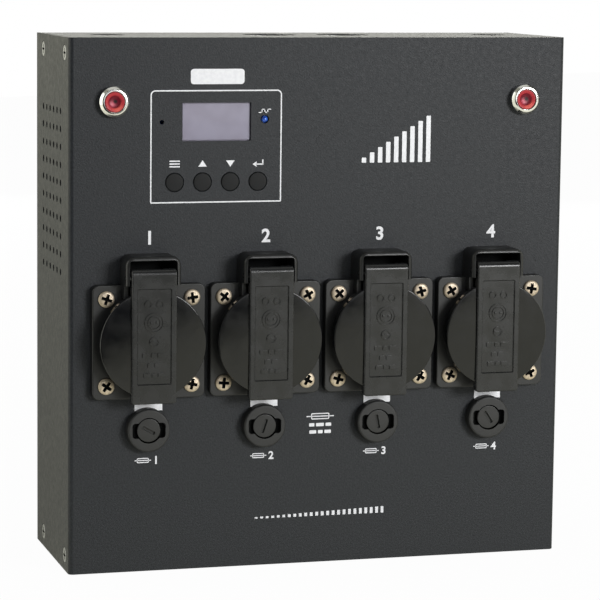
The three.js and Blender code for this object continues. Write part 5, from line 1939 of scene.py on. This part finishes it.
def addNumbers():
    numbers, labels, tabs = [], [], []
    width, height, corner, line = ink["fuseSign"]
    for channel, upper, lower in zip(channels, socketMiddles, fuseMiddles):
        x, z = ink["numberPlace"]
        numbers.append(inkNumber(channel, ink["numberHeight"], (upper.x + x, upper.z + z)))
        x, z = ink["smallPlace"]
        labels.append(inkNumber(channel, ink["smallHeight"], (lower.x + x, lower.z + z)))
        x, z = ink["fuseSignPlace"]
        spot = (lower.x + x, lower.z + z)
        labels += [inkFrame(width, height, spot, [corner] * 4, line), inkBar(*ink["fuseWire"], spot)]
        top = upper.z - socket["flange"] / 2
        bottom = lower.z + fuse["bezel"] / 2 - ink["tabOverlap"]
        spot = (lower.x + ink["tabShift"], (top + bottom) / 2)
        tabs.append(inkBar(ink["tabWidth"], top - bottom, spot))
    addPrint("channel_numbers", numbers)
    addPrint("fuse_signs", labels)
    # the tabs take the whiter ink, painted light against the straps' shade
    addPrint("channel_tabs", tabs, "tab")


def pulseSign(x, z):  # two square pulses, each stroke a bar
    across, up, line = controlSign["pulse"]
    spots = [(-2, -1), (-1, -1), (-1, 1), (0, 1), (0, -1), (1, -1), (1, 1), (2, 1)]
    bars = []
    for (left, low), (right, high) in zip(spots, spots[1:]):
        middle = (x + (left + right) / 2 * across, z + (low + high) / 2 * up)
        bars.append(inkBar((right - left) * across + line, abs(high - low) * up + line, middle))
    return bars


def addControlSigns():
    left, bottom, right, top = controlSign["border"]
    middle = ((left + right) / 2, (bottom + top) / 2)
    border = inkFrame(right - left, top - bottom, middle, controlSign["corners"], ink["line"])
    addPrint("display_border", [border])
    menu, up, down, enter = [Vector((spot.x, spot.z + controlSign["rise"])) for spot in buttonMiddles]
    width, pitch = controlSign["menu"]
    signs = [inkBar(width, ink["line"], menu + Vector((0, step * pitch))) for step in (-1, 0, 1)]
    side, foot, tip = controlSign["arrow"]
    signs.append(inkShape([up + Vector(spot) for spot in ((-side, -foot), (side, -foot), (0, tip))]))
    signs.append(inkShape([down + Vector(spot) for spot in ((0, -tip), (side, foot), (-side, foot))]))
    signs.append(inkLine([enter + Vector(spot) for spot in controlSign["enterDown"]], ink["line"]))
    width, spot = controlSign["enterBack"]
    signs.append(inkBar(width, ink["line"], enter + Vector(spot)))
    signs.append(inkShape([enter + Vector(spot) for spot in controlSign["enterHead"]]))
    signs += pulseSign(statusMiddle.x, statusMiddle.z + controlSign["pulseRise"])
    addPrint("control_signs", signs)


def addLevelSign():  # rising bars: the level of a dimmer
    count, height = levelSign["count"], levelSign["height"]
    pitch = levelSign["width"] / count
    bars = []
    for step in range(count):
        tall = height * (step + 1) / count
        middle = (levelSign["left"] + pitch * (step + 0.5), levelSign["bottom"] + tall / 2)
        bars.append(inkBar(pitch * levelSign["barShare"], tall, middle, ink["corner"]))
    addPrint("level_sign", bars)


def addSupplySign():  # a badge with two waves
    x, z = supplySign["middle"]
    width, height, line = supplySign["wave"]
    steps = supplySign["steps"]
    badge = inkShape(softCorners(rectangle(*supplySign["size"], (x, z)), supplySign["corner"]))
    waves = []
    for across in supplySign["waves"]:
        points = []
        for step in range(steps + 1):
            share = step / steps
            rise = math.sin(2 * math.pi * share) * height / 2
            points.append((x + across + (share - 0.5) * width, z + rise))
        wave = inkLine(points, line)
        wave.data.transform(Matrix.Scale(supplySign["depth"], 4, (0, 1, 0)))
        waves.append(wave)
    addPrint("supply_sign", [carve(badge, *waves)])


def addRatingSign():
    middle = (ratingSign["middle"], ratingSign["level"])
    width, height, corner, line = ratingSign["frame"]
    rating = [inkFrame(width, height, middle, [corner] * 4, line), inkBar(*ratingSign["wire"], middle)]
    for level, widths in ratingSign["rows"]:
        for x, width in spread(ratingSign["middle"], widths, ratingSign["gap"]):
            rating.append(inkBar(width, ratingSign["height"], (x, level), ink["corner"]))
    addPrint("rating_sign", rating)


def addScaleSign():
    count, (least, most) = scaleSign["count"], scaleSign["heights"]
    bars = []
    for step in range(count):
        tall = least + (most - least) * step / (count - 1)
        x = scaleSign["middle"] + (step - (count - 1) / 2) * scaleSign["pitch"]
        bars.append(inkBar(scaleSign["width"], tall, (x, scaleSign["bottom"] + tall / 2)))
    addPrint("output_sign", bars)


addNumbers()
addControlSigns()
addLevelSign()
addSupplySign()
addRatingSign()
addScaleSign()
print("print laid on the front")
